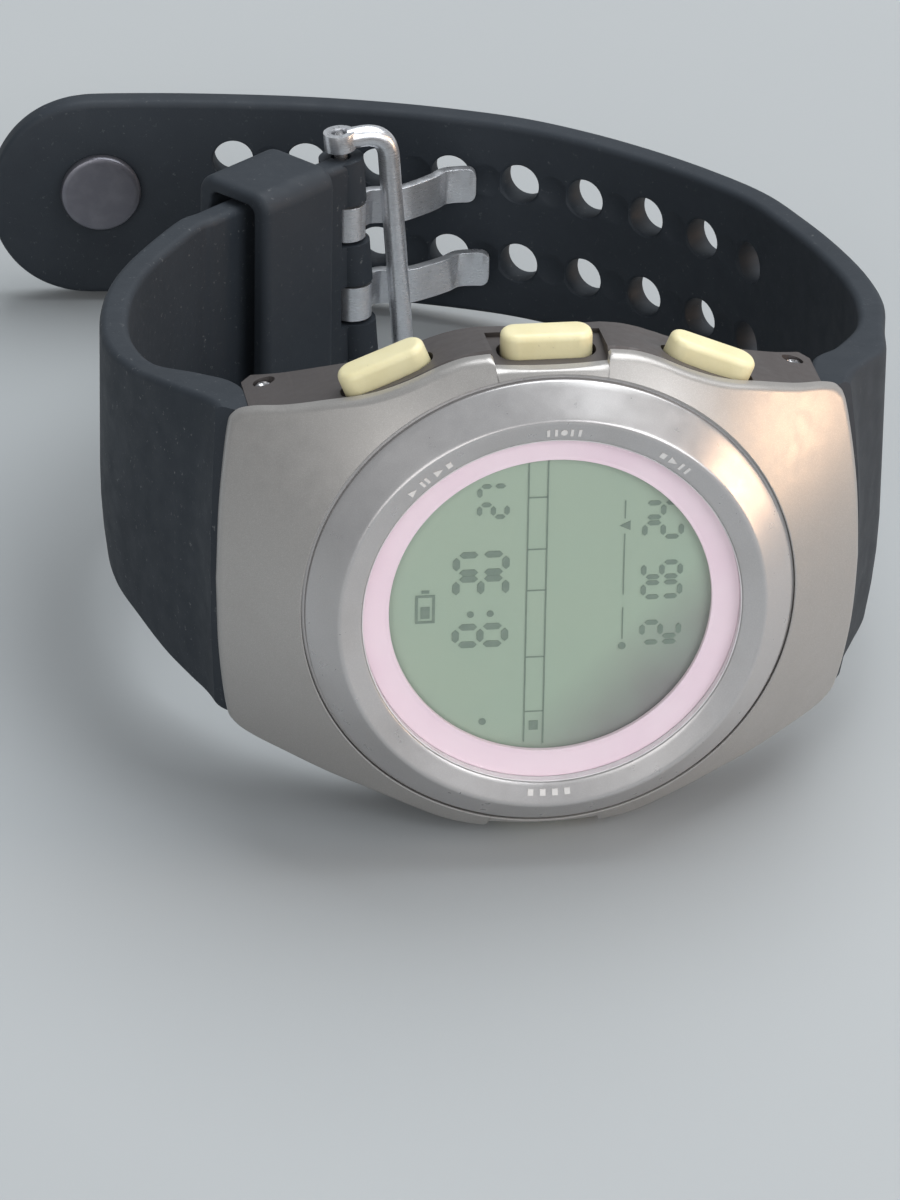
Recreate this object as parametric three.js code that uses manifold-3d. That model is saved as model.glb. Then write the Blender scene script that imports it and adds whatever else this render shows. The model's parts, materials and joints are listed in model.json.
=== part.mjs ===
// A digital sports watch lying on its side with its strap unbuckled.
//
// Every piece is drawn in the watch's own frame, in millimetres:
//   X runs from 12 o'clock to 6 o'clock, Y from the glass to the case back,
//   Z from 9 o'clock to 3 o'clock, and the origin is the centre of the bezel's ridge.
// The last lines tilt the whole watch onto the surface it rests on.
import * as THREE from 'three';
import { mergeVertices } from 'three/addons/utils/BufferGeometryUtils.js';
import Module from 'manifold-3d';

const wasm = await Module();
wasm.setup();

// ---- Driving dimensions -------------------------------------------------------------------
const GAP = 0.3; // clearance between neighbouring pieces
const FINE = 40; // facets round a large turned piece
const COARSE = 12; // facets round a small one

const REST_TILT = 8.96; // degrees that the glass leans back from upright

const BEZEL = { ridge: 16.4, outer: 18.72, lip: 14.62, seat: 15.5, slopeEnd: 2.4, bottom: 3.45 };
const FASCIA = { inner: 19.0, thickness: 0.9, start: 2.55, slope: 0.82, curl: 0.017 };
const NOTCH = { half: 4.4, z: 19.35 }; // the gap in the fascia at the 3 and 9 o'clock buttons

const CAVITY = 14.2; // radius of the movement's chamber
const BODY = { inset: 0.25, shelf: 3.75, endFace: 22.1, draft: 0.0075, draftStart: 8 };
const WRIST = { radius: 37, nearest: 11 }; // the concave back of the case
const BACK = { half: 15.8, corner: 6.5, seat: 11.75, outer: 13.15, boss: 13.9, inner: 11.1 };
const SCREW = { x: 13.4, z: 10.2, head: 1.35, shank: 0.6 };

const CRYSTAL = { radius: 14.3, front: 0.5, back: 1.3 };
const DIAL_OPENING = 12.4; // inner radius of the coloured ring round the display

const PIN = { x: 20.5, y: 15.6, radius: 0.65, half: 13.0 }; // strap pins in the case's ears
const TONGUE = { half: 10.8, radius: 2.0 }; // the strap's root between the ears

const CAP = { length: 7.0, depth: 2.8, corner: 1.25, out: 1.6, under: 0.7 };
const STEM = { radius: 0.6, end: 5.2, bore: 0.75, spring: 1.35, recess: 1.7 };
const BUTTONS = [
  { name: 'light', x: 0, y: 7.0, z: 19.3, turn: 0 },
  { name: 'start', x: -12.05, y: 7.9, z: 17.25, turn: -22.5 },
  { name: 'reset', x: 12.5, y: 7.95, z: 16.95, turn: 22.5 },
  { name: 'mode', x: 0, y: 6.8, z: -18.75, turn: 180 },
];

const STRAP = { thickness: 2.3, chamfer: 0.45, tail: 8.8 };
const HOLES = { x: 24.55, y: 54.3, pitch: 6.2, columns: 9, row: 3.6, radius: 1.65 };
const STUD = { x: -27.2, y: 80.4, z: 0.8, disc: 3.35, thick: 0.8, shank: 1.2, washer: 2.7 };

const BAR = { x: -7.94, y: 65.6, radius: 0.55, half: 11.4 }; // spring bar at the buckle
const LEAN = -4.6; // degrees that the spring bar leans in its soft loop, towards 12 o'clock
const STRAP_END = { heading: 40.5, half: 9.2, barrel: 1.85, bore: 0.85 };
const PRONG = { width: 3.0, thick: 0.8, eye: 1.65, row: 3.6, upper: 26, lower: 20.5 };
const FRAME_ROD = { x: -3.94, y: 66.2, radius: 0.9, half: 10.7, corner: 2.2, eye: 1.3 };
const KEEPER = { from: -14.1, length: 8.3, wall: 1.5, slot: 4.8, half: 11.1, slotHalf: 9.9 };

// ---- Materials ----------------------------------------------------------------------------
const paint = (color, roughness, metalness) => ({ color, roughness, metalness });
const LOOKS = {
  resin: paint(0x33383c, 0.62, 0),
  caseResin: paint(0x5b5552, 0.5, 0.1),
  silverPaint: paint(0xb4b4b2, 0.38, 0.55),
  bezelPaint: paint(0xc4c4c3, 0.34, 0.6),
  cream: paint(0xe0d9b0, 0.45, 0),
  pink: paint(0xd2b4c4, 0.5, 0),
  glass: paint(0xcfd8d2, 0.05, 0),
  display: paint(0x8f9f8f, 0.3, 0),
  steel: paint(0xa9abb0, 0.3, 0.9),
  greySteel: paint(0x64646a, 0.4, 0.8),
  seal: paint(0x1d1d1f, 0.7, 0),
  whitePlastic: paint(0xe6e6e2, 0.5, 0),
  board: paint(0x2f6b45, 0.5, 0),
  brass: paint(0xb99a52, 0.35, 0.9),
  backlight: paint(0xbfd9c8, 0.6, 0),
};

// ---- Solids -------------------------------------------------------------------------------
// Six times the enclosed volume, negative when the faces point inwards.
function signedVolume(positions, index) {
  const at = (i) => new THREE.Vector3().fromArray(positions, 3 * index[i]);
  let total = 0;
  for (let i = 0; i < index.length; i += 3) {
    total += at(i).dot(at(i + 1).cross(at(i + 2)));
  }
  return total;
}

// A closed geometry as a manifold solid, with its faces turned outwards.
function solid(geometry) {
  const bare = geometry.clone();
  bare.deleteAttribute('normal');
  bare.deleteAttribute('uv');
  const merged = mergeVertices(bare, 1e-4);
  const vertProperties = merged.attributes.position.array;
  const corners = merged.index.array;
  const triangles = [];
  for (let i = 0; i < corners.length; i += 3) {
    const [a, b, c] = corners.slice(i, i + 3);
    if (a !== b && b !== c && c !== a) triangles.push(a, b, c);
  }
  const outward = signedVolume(vertProperties, triangles) > 0;
  const triVerts = Uint32Array.from(outward ? triangles : triangles.reverse());
  return new wasm.Manifold(new wasm.Mesh({ numProp: 3, vertProperties, triVerts }));
}

function toGeometry(shape) {
  const mesh = shape.getMesh();
  const geometry = new THREE.BufferGeometry();
  geometry.setAttribute('position', new THREE.BufferAttribute(mesh.vertProperties, 3));
  geometry.setIndex(new THREE.BufferAttribute(mesh.triVerts, 1));
  geometry.computeVertexNormals();
  return geometry;
}

const cut = (shape, ...tools) => tools.reduce((left, tool) => left.subtract(tool), shape);
const join = (...shapes) => shapes.reduce((all, shape) => all.add(shape));
const common = (...shapes) => shapes.reduce((all, shape) => all.intersect(shape));

// A piece turned about the watch's Y axis, from [radius, y] points.
function turned(points, facets = FINE) {
  return solid(new THREE.LatheGeometry(points.map(([r, y]) => new THREE.Vector2(r, y)), facets));
}

const disc = (radius, y0, y1, facets = FINE) =>
  turned([[0, y0], [radius, y0], [radius, y1], [0, y1]], facets);

const ring = (inner, outer, y0, y1, facets = FINE) =>
  turned([[inner, y0], [outer, y0], [outer, y1], [inner, y1], [inner, y0]], facets);

function box(x0, x1, y0, y1, z0, z1) {
  const shape = new THREE.BoxGeometry(x1 - x0, y1 - y0, z1 - z0);
  shape.translate((x0 + x1) / 2, (y0 + y1) / 2, (z0 + z1) / 2);
  return solid(shape);
}

// A round rod along Z.
function rod(x, y, radius, z0, z1, facets = COARSE) {
  const shape = new THREE.CylinderGeometry(radius, radius, z1 - z0, facets);
  shape.rotateX(Math.PI / 2);
  shape.translate(x, y, (z0 + z1) / 2);
  return shape;
}

function extruded(shape, depth, options = {}) {
  const plain = { depth, bevelEnabled: false, curveSegments: 4 };
  return new THREE.ExtrudeGeometry(shape, { ...plain, ...options });
}

function polygon(points) {
  return new THREE.Shape(points.map(([x, y]) => new THREE.Vector2(x, y)));
}

// A shape of [x, z] points swept along Y from y0 to y1.
function prismAlongY(shape, y0, y1) {
  const geometry = extruded(shape, y1 - y0);
  geometry.rotateX(Math.PI / 2);
  geometry.translate(0, y1, 0);
  return geometry;
}

// A shape of [x, y] points swept along Z from z0 to z1.
function prismAlongZ(shape, z0, z1) {
  const geometry = extruded(shape, z1 - z0);
  geometry.translate(0, 0, z0);
  return geometry;
}

function roundedRect(halfX, halfY, radius) {
  const shape = new THREE.Shape();
  const x = halfX - radius;
  const y = halfY - radius;
  shape.absarc(x, y, radius, 0, Math.PI / 2);
  shape.absarc(-x, y, radius, Math.PI / 2, Math.PI);
  shape.absarc(-x, -y, radius, Math.PI, Math.PI * 1.5);
  shape.absarc(x, -y, radius, Math.PI * 1.5, Math.PI * 2);
  return shape;
}

// A closed tube of round section along a curve.
function tube(curve, radius, steps, sides) {
  const section = new THREE.Shape().absarc(0, 0, radius, 0, Math.PI * 2);
  const options = { steps, extrudePath: curve, bevelEnabled: false, curveSegments: sides };
  return new THREE.ExtrudeGeometry(section, options);
}

// ---- The case's outline and surfaces ------------------------------------------------------
// Height of the fascia's front at a distance r from the watch's axis.
const fasciaFront = (r) => {
  const past = r - FASCIA.inner;
  return FASCIA.start + FASCIA.slope * past + FASCIA.curl * past * past;
};

// The plan outline, bowed at the ends and swelling round the dial, inset by a margin.
function outline(inset) {
  const side = [
    [24.85, 0], [24.6, 6], [23.9, 11.6], [23.3, 13.1], [22.0, 13.9], [19.6, 14.65], [16.6, 15.7],
    [13.5, 16.7], [10.8, 17.85], [8.4, 19.0], [6.6, 19.65], [4.9, 19.95],
  ].map(([x, z]) => [x - inset, Math.max(z - inset, 0)]);
  const quarter = new THREE.SplineCurve(side.map(([x, z]) => new THREE.Vector2(x, z))).getPoints(14);
  const upper = quarter.map((p) => [p.x, p.y]);
  const mirrorX = upper.map(([x, z]) => [-x, z]).reverse();
  const top = [...upper, ...mirrorX];
  const bottom = top.slice(1, -1).map(([x, z]) => [x, -z]).reverse();
  return polygon([...top, ...bottom]);
}

// Everything behind a surface that lies `behind` the fascia's front.
function behindFascia(behind, shelf) {
  const curve = [19.05, 22, 25.5, 30].map((r) => [r, fasciaFront(r) + behind]);
  return turned([[0, shelf], [18.95, shelf], ...curve, [30, 25], [0, 25]]);
}

// Everything in front of the same surface.
function beforeFascia(behind) {
  const curve = [19.05, 22, 25.5, 32].map((r) => [r, fasciaFront(r) + behind]);
  return turned([[0, -5], [32, -5], ...curve.reverse(), [0, curve[curve.length - 1][1]]]);
}

function wristArc() {
  const { radius, nearest } = WRIST;
  const arc = [];
  for (let i = -6; i <= 6; i += 1) {
    const x = (BODY.endFace - 0.8) * (i / 6);
    arc.push([x, nearest + radius - Math.sqrt(radius * radius - x * x)]);
  }
  return arc;
}

function screwPlaces() {
  const places = [];
  for (const x of [-SCREW.x, SCREW.x]) {
    for (const z of [-SCREW.z, SCREW.z]) places.push([x, z]);
  }
  return places;
}

// A turned solid moved to one of the case screws.
const atScrew = (shape, [x, z]) => shape.translate([x, 0, z]);

// ---- Buttons, drawn with +Z outwards and Z = 0 on the case's outline ------------------------
function buttonMatrix({ x, y, z, turn }) {
  const matrix = new THREE.Matrix4().makeRotationY(THREE.MathUtils.degToRad(turn));
  return matrix.setPosition(x, y, z);
}

function buttonHollow(button) {
  const mouth = roundedRect(CAP.length / 2 + GAP, CAP.depth / 2 + GAP, CAP.corner + GAP);
  const parts = [
    prismAlongZ(mouth, -1.8, 4),
    rod(0, 0, STEM.spring, -3.2, -1.7),
    rod(0, 0, STEM.bore, -4.6, -3.1),
    rod(0, 0, STEM.bore + 0.33, -4.15, -3.65),
    rod(0, 0, STEM.recess, -12, -4.5),
  ];
  return join(...parts.map((part) => solid(part.applyMatrix4(buttonMatrix(button)))));
}

function buttonCap() {
  const bevel = 0.35;
  const face = roundedRect(CAP.length / 2 - bevel, CAP.depth / 2 - bevel, CAP.corner - bevel);
  const bevels = { bevelEnabled: true, bevelSize: bevel, bevelThickness: bevel, bevelSegments: 1 };
  const cap = extruded(face, CAP.out + CAP.under - 2 * bevel, bevels);
  cap.translate(0, 0, bevel - CAP.under);
  return join(solid(cap), solid(rod(0, 0, STEM.radius, -STEM.end, 0)));
}

function buttonSpring() {
  const [from, to, radius, turns] = [-3.0, -0.9, 1.0, 3.5];
  class Helix extends THREE.Curve {
    getPoint(t, target = new THREE.Vector3()) {
      const angle = t * turns * Math.PI * 2;
      return target.set(radius * Math.cos(angle), radius * Math.sin(angle), from + t * (to - from));
    }
  }
  return solid(tube(new Helix(), 0.15, 35, 2));
}

function buttonSeal() {
  const seal = new THREE.TorusGeometry(0.84, 0.17, 6, 14);
  seal.translate(0, 0, -3.9);
  return solid(seal);
}

function buttonClip() {
  const washer = cut(solid(rod(0, 0, 1.4, -4.95, -4.7)), solid(rod(0, 0, 0.68, -6, -4)));
  return cut(washer, box(-0.4, 0.4, 0.2, 2, -6, -4));
}

// ---- Case ---------------------------------------------------------------------------------
function caseBody() {
  const blank = prismAlongY(outline(BODY.inset), 0, 20);
  const spots = blank.attributes.position;
  for (let i = 0; i < spots.count; i += 1) {
    spots.setZ(i, spots.getZ(i) * (1 - BODY.draft * (spots.getY(i) - BODY.draftStart)));
  }
  const arc = wristArc();
  const end = BODY.endFace;
  const rim = arc[0][1] - 0.8;
  const profile = polygon([[-end, 0], [end, 0], [end, rim], ...arc.reverse(), [-end, rim]]);
  const sideView = solid(prismAlongZ(profile, -25, 25));
  const shell = common(solid(blank), behindFascia(FASCIA.thickness + GAP, BODY.shelf), sideView);
  const seatOutline = (margin) =>
    roundedRect(BACK.half + margin, BACK.half + margin, BACK.corner + margin);
  const boss = solid(prismAlongY(seatOutline(1), 9, BACK.seat));
  const recess = solid(prismAlongY(seatOutline(GAP), BACK.seat, 25));
  const tongueSlots = [-1, 1].map((side) => {
    const [a, b] = [side * (PIN.x - TONGUE.radius - 0.5), side * 24];
    return box(Math.min(a, b), Math.max(a, b), 13.1, 20, -TONGUE.half - GAP, TONGUE.half + GAP);
  });
  const pinHoles = [-PIN.x, PIN.x].map((x) => solid(rod(x, PIN.y, PIN.radius + 0.2, -20, 20)));
  const screwHole = disc(SCREW.shank + 0.15, 9.6, 14, COARSE);
  const screwHoles = screwPlaces().map((place) => atScrew(screwHole, place));
  const notches = [
    box(-NOTCH.half, NOTCH.half, 0, 9.6, 19.1, 25),
    box(-NOTCH.half, NOTCH.half, 0, 9.6, -25, -19.1),
  ];
  return cut(
    join(shell, boss), recess, disc(CAVITY, 0, 20), ring(14.7, 15.7, 11.2, 12),
    ...tongueSlots, ...pinHoles, ...screwHoles, ...notches, ...BUTTONS.map(buttonHollow),
  );
}

function fascia() {
  const radii = [19, 21, 23.5, 26, 28.5];
  const front = radii.map((r) => [r, fasciaFront(r)]);
  const back = radii.map((r) => [r, fasciaFront(r) + FASCIA.thickness]).reverse();
  const plate = turned([...front, ...back, front[0]], 56);
  const notches = [1, -1].map((side) => {
    const [a, b] = [side * NOTCH.z, side * 25];
    return box(-NOTCH.half, NOTCH.half, 0, 12, Math.min(a, b), Math.max(a, b));
  });
  return cut(common(plate, solid(prismAlongY(outline(0), -1, 20))), ...notches);
}

function bezel() {
  const { ridge, outer, lip, seat, slopeEnd, bottom } = BEZEL;
  const profile = [
    [lip, 0.5], [ridge - 0.35, 0.04], [ridge, 0], [ridge + 0.3, 0.12], [outer, slopeEnd], [outer, bottom],
    [seat, bottom], [seat, 1.0], [lip, 1.0], [lip, 0.5],
  ];
  return turned(profile, 56);
}

function caseBack() {
  const { half, corner, seat, outer, boss, inner } = BACK;
  const plate = solid(prismAlongY(roundedRect(half, half, corner), seat + 0.2, outer));
  const holes = screwPlaces().flatMap((place) => [
    atScrew(disc(SCREW.shank + 0.25, 11, 14, COARSE), place),
    atScrew(disc(SCREW.head + 0.2, outer - 0.75, 14, COARSE), place),
  ]);
  const groove = ring(11.2, 11.8, outer - 0.25, outer + 1);
  return cut(join(plate, disc(boss, inner, seat + 0.3)), groove, ...holes);
}

function caseScrew(place) {
  const { outer } = BACK;
  const head = disc(SCREW.head, outer - 0.65, outer - 0.05, COARSE);
  const shank = disc(SCREW.shank, 9.75, outer - 0.5, COARSE);
  const slots = [
    box(-1, 1, outer - 0.35, outer + 1, -0.15, 0.15),
    box(-0.15, 0.15, outer - 0.35, outer + 1, -1, 1),
  ];
  return atScrew(cut(join(head, shank), ...slots), place);
}

// ---- Movement -----------------------------------------------------------------------------
function moduleFrame() {
  const slots = [-1, 1].map((side) => {
    const [a, b] = [side * 11.1, side * 14];
    return box(Math.min(a, b), Math.max(a, b), 4, 8, -5.4, 5.4);
  });
  return cut(disc(12.5, 4.3, 7.1, 48), disc(3, 4, 8, COARSE), ...slots);
}

function batteryClip() {
  const strip = box(-5.6, 12.5, 10.35, 10.6, -1.75, 1.75);
  const legs = [box(-5.6, -5.3, 8.65, 10.4, -1.75, 1.75), box(12.2, 12.5, 8.65, 10.4, -1.75, 1.75)];
  return join(strip, ...legs);
}

function quartzCan() {
  return solid(rod(-8.5, 9.55, 0.9, 3, 8));
}

// ---- Straps -------------------------------------------------------------------------------
// Rows are [outer x, outer y, inner x, inner y, half width], from the case outwards.
const ROOT = [
  [24.95, 8.6, 22.6, 8.6, 13.2],
  [25.9, 13.3, 22.6, 13.3, 12.9],
  [27.3, 16.6, 22.75, 17.4, 12.5],
  [28.6, 19.6, 24.6, 20.2, 12.0],
];

// The strap's middle line past its root, as [x, y, half width].
const LONG_LINE = [
  [28.2, 24.5, 11.6], [29.2, 30, 11.1], [29.0, 36, 10.6], [27.8, 43, 10.0], [26.1, 49.5, 9.5],
  [24.1, 55.2, 9.1], [20.7, 60.2, 8.9], [16.7, 64.7, 8.8], [12.1, 68.7, 8.8], [7.1, 72.1, 8.8],
  [1.5, 74.6, 8.8], [-4.3, 76.6, 8.8], [-10, 78.1, 8.8], [-16, 79.2, 8.8], [-22, 80.0, 8.8],
  [-27.2, 80.4, 8.8],
];
const TAIL_END = { x: -36.4, y: 80.8 };

const SHORT_LINE = [
  [-28.9, 23.8, 11.1], [-30.2, 28.8, 10.5], [-30.3, 34, 10.1], [-29.3, 40, 9.8], [-27.1, 46.0, 9.5],
];

const headingVector = (degrees) => {
  const angle = THREE.MathUtils.degToRad(degrees);
  return new THREE.Vector2(Math.cos(angle), Math.sin(angle));
};

const smoothCurve = (points) => new THREE.CatmullRomCurve3(points, false, 'catmullrom');

// The rows of a middle line, offset to both sides by half the strap's thickness.
function offsetRows(line, side) {
  const curve = smoothCurve(line.map(([x, y]) => new THREE.Vector3(x, y, 0)));
  return line.map(([x, y, half], i) => {
    const along = curve.getTangent(i / (line.length - 1));
    const [nx, ny] = [side * along.y, -side * along.x];
    const reach = STRAP.thickness / 2;
    return [x + nx * reach, y + ny * reach, x - nx * reach, y - ny * reach, half];
  });
}

// A band through the rows, with chamfered edges and flat ends.
function band(rows, perSpan) {
  const through = (pick) => smoothCurve(rows.map((row) => new THREE.Vector3(...pick(row))));
  const outer = through(([x, y, , , half]) => [x, y, half]);
  const inner = through(([, , x, y, half]) => [x, y, half]);
  const count = (rows.length - 1) * perSpan;
  const positions = [];
  for (let i = 0; i <= count; i += 1) {
    const o = outer.getPoint(i / count);
    const n = inner.getPoint(i / count);
    const c = Math.min(STRAP.chamfer, o.z * 0.4);
    const mix = c / Math.hypot(o.x - n.x, o.y - n.y);
    const section = [
      [0, o.z - c], [mix, o.z], [1 - mix, o.z], [1, o.z - c],
      [1, c - o.z], [1 - mix, -o.z], [mix, -o.z], [0, c - o.z],
    ];
    for (const [share, z] of section) {
      positions.push(n.x + (o.x - n.x) * share, n.y + (o.y - n.y) * share, z);
    }
  }
  const index = [];
  for (let i = 0; i < count; i += 1) {
    for (let k = 0; k < 8; k += 1) {
      const [a, b] = [i * 8 + k, i * 8 + ((k + 1) % 8)];
      index.push(a, b, b + 8, a, b + 8, a + 8);
    }
  }
  for (let k = 1; k < 7; k += 1) {
    index.push(0, k + 1, k, count * 8, count * 8 + k, count * 8 + k + 1);
  }
  const geometry = new THREE.BufferGeometry();
  geometry.setAttribute('position', new THREE.Float32BufferAttribute(positions, 3));
  geometry.setIndex(index);
  return solid(geometry);
}

// The root tongue between the case's ears, bored for its pin.
function withTongue(strap, side) {
  const knuckle = solid(rod(side * PIN.x, PIN.y, TONGUE.radius, -TONGUE.half, TONGUE.half));
  const [a, b] = [side * PIN.x, side * (BODY.endFace + 1.2)];
  const [low, high] = [Math.min(a, b), Math.max(a, b)];
  const web = box(low, high, PIN.y - 1.6, PIN.y + 1.4, -TONGUE.half, TONGUE.half);
  const bore = solid(rod(side * PIN.x, PIN.y, PIN.radius + 0.2, -20, 20));
  return cut(join(strap, knuckle, web), bore, beforeFascia(FASCIA.thickness + 0.4));
}

// A cylinder through the long strap, square to it at a distance along its middle line.
function throughStrap(curve, distance, radius, z, reach) {
  const u = distance / curve.getLength();
  const spot = curve.getPointAt(u);
  const along = curve.getTangentAt(u);
  const pin = new THREE.CylinderGeometry(radius, radius, reach, 12);
  pin.rotateZ(Math.atan2(along.y, along.x));
  pin.translate(spot.x, spot.y, z);
  return solid(pin);
}

function longMiddle() {
  const points = LONG_LINE.map(([x, y]) => new THREE.Vector3(x, y, 0));
  return smoothCurve([...points, new THREE.Vector3(TAIL_END.x, TAIL_END.y, 0)]);
}

// Distance along a curve to the point nearest to [x, y].
function distanceTo(curve, x, y) {
  const spots = curve.getSpacedPoints(800);
  const gaps = spots.map((p) => Math.hypot(p.x - x, p.y - y));
  return (gaps.indexOf(Math.min(...gaps)) / 800) * curve.getLength();
}

function longStrap() {
  const tail = [0.35, 0.6, 0.8, 0.92, 0.98].map((share) => {
    const x = STUD.x + (TAIL_END.x - STUD.x) * share;
    const y = STUD.y + (TAIL_END.y - STUD.y) * share;
    return [x, y, STRAP.tail * Math.sqrt(1 - share ** 2.3)];
  });
  const rows = [...ROOT, ...offsetRows([...LONG_LINE, ...tail], 1)];
  const strap = withTongue(band(rows, 1), 1);
  const curve = longMiddle();
  const first = distanceTo(curve, HOLES.x, HOLES.y);
  const holes = [];
  for (let i = 0; i < HOLES.columns; i += 1) {
    for (const z of [-HOLES.row, HOLES.row]) {
      holes.push(throughStrap(curve, first + i * HOLES.pitch, HOLES.radius, z, 8));
    }
  }
  const studAt = distanceTo(curve, STUD.x, STUD.y);
  const studHole = throughStrap(curve, studAt, STUD.shank + GAP, STUD.z, 8);
  return cut(strap, ...holes, studHole);
}

// Places a shape drawn with X across the strap, Y up the watch and Z along the strap.
function alongEnd(geometry, distance) {
  const along = headingVector(STRAP_END.heading);
  const outward = new THREE.Vector3(-along.y, along.x, 0);
  const up = new THREE.Vector3(0, 0, 1);
  const basis = new THREE.Matrix4().makeBasis(outward, up, new THREE.Vector3(along.x, along.y, 0));
  basis.setPosition(BAR.x + along.x * distance, BAR.y + along.y * distance, 0);
  return geometry.applyMatrix4(basis);
}

// Leans a shape with the spring bar.
function leaning(geometry) {
  geometry.translate(-BAR.x, 0, 0);
  geometry.rotateY(THREE.MathUtils.degToRad(LEAN));
  geometry.translate(BAR.x, 0, 0);
  return geometry;
}

// A leaning rod on the spring bar's axis.
const barRod = (radius, z0, z1) => solid(leaning(rod(BAR.x, BAR.y, radius, z0, z1)));

function shortStrap() {
  const along = headingVector(STRAP_END.heading);
  const straight = [-19.5, -17, -12, -6, -0.6].map((s) => {
    const half = STRAP_END.half + Math.min(0.3, -s / 30);
    return [BAR.x + along.x * s, BAR.y + along.y * s, half];
  });
  const root = ROOT.map(([ox, oy, ix, iy, half]) => [-ox, oy, -ix, iy, half]);
  const rows = [...root, ...offsetRows([...SHORT_LINE, ...straight], -1)];
  const strap = withTongue(band(rows, 2), -1);
  const barrel = barRod(STRAP_END.barrel, -STRAP_END.half, STRAP_END.half);
  const bore = barRod(STRAP_END.bore, -20, 20);
  const slot = PRONG.width / 2 + GAP;
  const slots = [-PRONG.row, PRONG.row].map((z) => {
    const clear = new THREE.BoxGeometry(8, 2 * slot, 6);
    clear.translate(0, z, 0.9);
    return solid(alongEnd(clear, 0));
  });
  return cut(join(strap, barrel), bore, ...slots);
}

// ---- Buckle -------------------------------------------------------------------------------
function buckleFrame() {
  const { x, y, half, corner, radius, eye } = FRAME_ROD;
  const back = new THREE.Vector3(BAR.x - x, BAR.y - y, 0);
  const reach = back.length();
  back.normalize();
  const from = (distance, z) => new THREE.Vector3(x, y, z).addScaledVector(back, distance);
  const path = new THREE.CurvePath();
  const [armFrom, armTo] = [from(reach - 0.6, half), from(corner, half)];
  const [bowFrom, bowTo] = [from(0, half - corner), from(0, corner - half)];
  const [footFrom, footTo] = [from(corner, -half), from(reach - 0.6, -half)];
  path.add(new THREE.LineCurve3(armFrom, armTo));
  path.add(new THREE.QuadraticBezierCurve3(armTo, from(0, half), bowFrom));
  path.add(new THREE.LineCurve3(bowFrom, bowTo));
  path.add(new THREE.QuadraticBezierCurve3(bowTo, from(0, -half), footFrom));
  path.add(new THREE.LineCurve3(footFrom, footTo));
  const bow = solid(leaning(tube(path, radius, 30, 4)));
  const eyes = [half, -half].map((z) => barRod(eye, z - radius, z + radius));
  return cut(join(bow, ...eyes), barRod(BAR.radius + 0.15, -20, 20));
}

// A wavy flat prong with a rolled eye, leaving the spring bar at an angle to the X axis.
function prong(angle, z) {
  const wave = [
    [0.6, 0.3], [1.7, 0.75], [3.1, 1.15], [5.2, 0.15], [7.4, 0.3], [9.1, 0.65], [10.4, 1.1],
    [11.7, 0.75], [12.9, 0.05],
  ];
  const curve = new THREE.SplineCurve(wave.map(([a, b]) => new THREE.Vector2(a, b)));
  const spots = curve.getPoints(26);
  const half = PRONG.thick / 2;
  const offset = (side) => spots.map((spot, i) => {
    const t = curve.getTangent(i / 26);
    return [spot.x - side * half * t.y, spot.y + side * half * t.x];
  });
  const [z0, z1] = [z - PRONG.width / 2, z + PRONG.width / 2];
  const strip = prismAlongZ(polygon([...offset(-1), ...offset(1).reverse()]), z0, z1);
  const place = (geometry) => {
    geometry.rotateZ(THREE.MathUtils.degToRad(angle));
    geometry.translate(BAR.x + z * Math.sin(THREE.MathUtils.degToRad(LEAN)), BAR.y, 0);
    return solid(geometry);
  };
  const shape = join(place(strip), place(rod(0, 0, PRONG.eye, z0, z1)));
  return cut(shape, barRod(BAR.radius + 0.2, -20, 20));
}

function keeper() {
  const outer = roundedRect(KEEPER.slot / 2 + KEEPER.wall, KEEPER.half, 1.6);
  outer.holes.push(roundedRect(KEEPER.slot / 2, KEEPER.slotHalf, 0.8));
  return solid(alongEnd(extruded(outer, KEEPER.length), KEEPER.from));
}

// A turned shape drawn about Y, set on the strap's inner face at the tip.
function atStud(shape) {
  const curve = longMiddle();
  const along = curve.getTangentAt(distanceTo(curve, STUD.x, STUD.y) / curve.getLength());
  const turn = THREE.MathUtils.radToDeg(Math.atan2(-along.y, -along.x));
  return shape.rotate([0, 0, turn]).translate([STUD.x, STUD.y, STUD.z]);
}

function tipStud() {
  const face = -STRAP.thickness / 2 - 0.2;
  const profile = [
    [0, face - STUD.thick], [STUD.disc - 0.25, face - STUD.thick], [STUD.disc, face - STUD.thick + 0.25],
    [STUD.disc, face], [STUD.shank, face], [STUD.shank, 2.0], [0, 2.0],
  ];
  return atStud(turned(profile, 32));
}

// ---- Assembly -----------------------------------------------------------------------------
const watch = new THREE.Group();

function piece(name, shape, look, parent = watch) {
  const mesh = new THREE.Mesh(toGeometry(shape), new THREE.MeshStandardMaterial(LOOKS[look]));
  mesh.name = name;
  parent.add(mesh);
}

piece('case_body', caseBody(), 'caseResin');
piece('fascia', fascia(), 'silverPaint');
piece('bezel', bezel(), 'bezelPaint');
piece('crystal', disc(CRYSTAL.radius, CRYSTAL.front, CRYSTAL.back), 'glass');
piece('crystal_gasket', ring(14.5, 15.2, 1.3, 2.4), 'seal');
piece('chapter_ring', ring(DIAL_OPENING, 14.2, 1.6, 2.0), 'pink');
piece('lcd_panel', disc(13.4, 2.3, 3.4, 48), 'display');
piece('el_backlight', disc(10.8, 3.7, 4.0, 48), 'backlight');
piece('zebra_connector_12', box(-12.6, -11.4, 3.6, 7.25, -5, 5), 'seal');
piece('zebra_connector_6', box(11.4, 12.6, 3.6, 7.25, -5, 5), 'seal');
piece('module_frame', moduleFrame(), 'whitePlastic');
piece('circuit_board', disc(12.9, 7.5, 8.3, 48), 'board');
piece('driver_chip', box(-11, -6, 8.6, 9.5, -5.5, -0.5), 'seal');
piece('quartz_can', quartzCan(), 'steel');
piece('coin_cell', disc(8, 8.6, 10.1, 40).translate([3.5, 0, 0]), 'steel');
piece('battery_clip', batteryClip(), 'steel');
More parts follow.
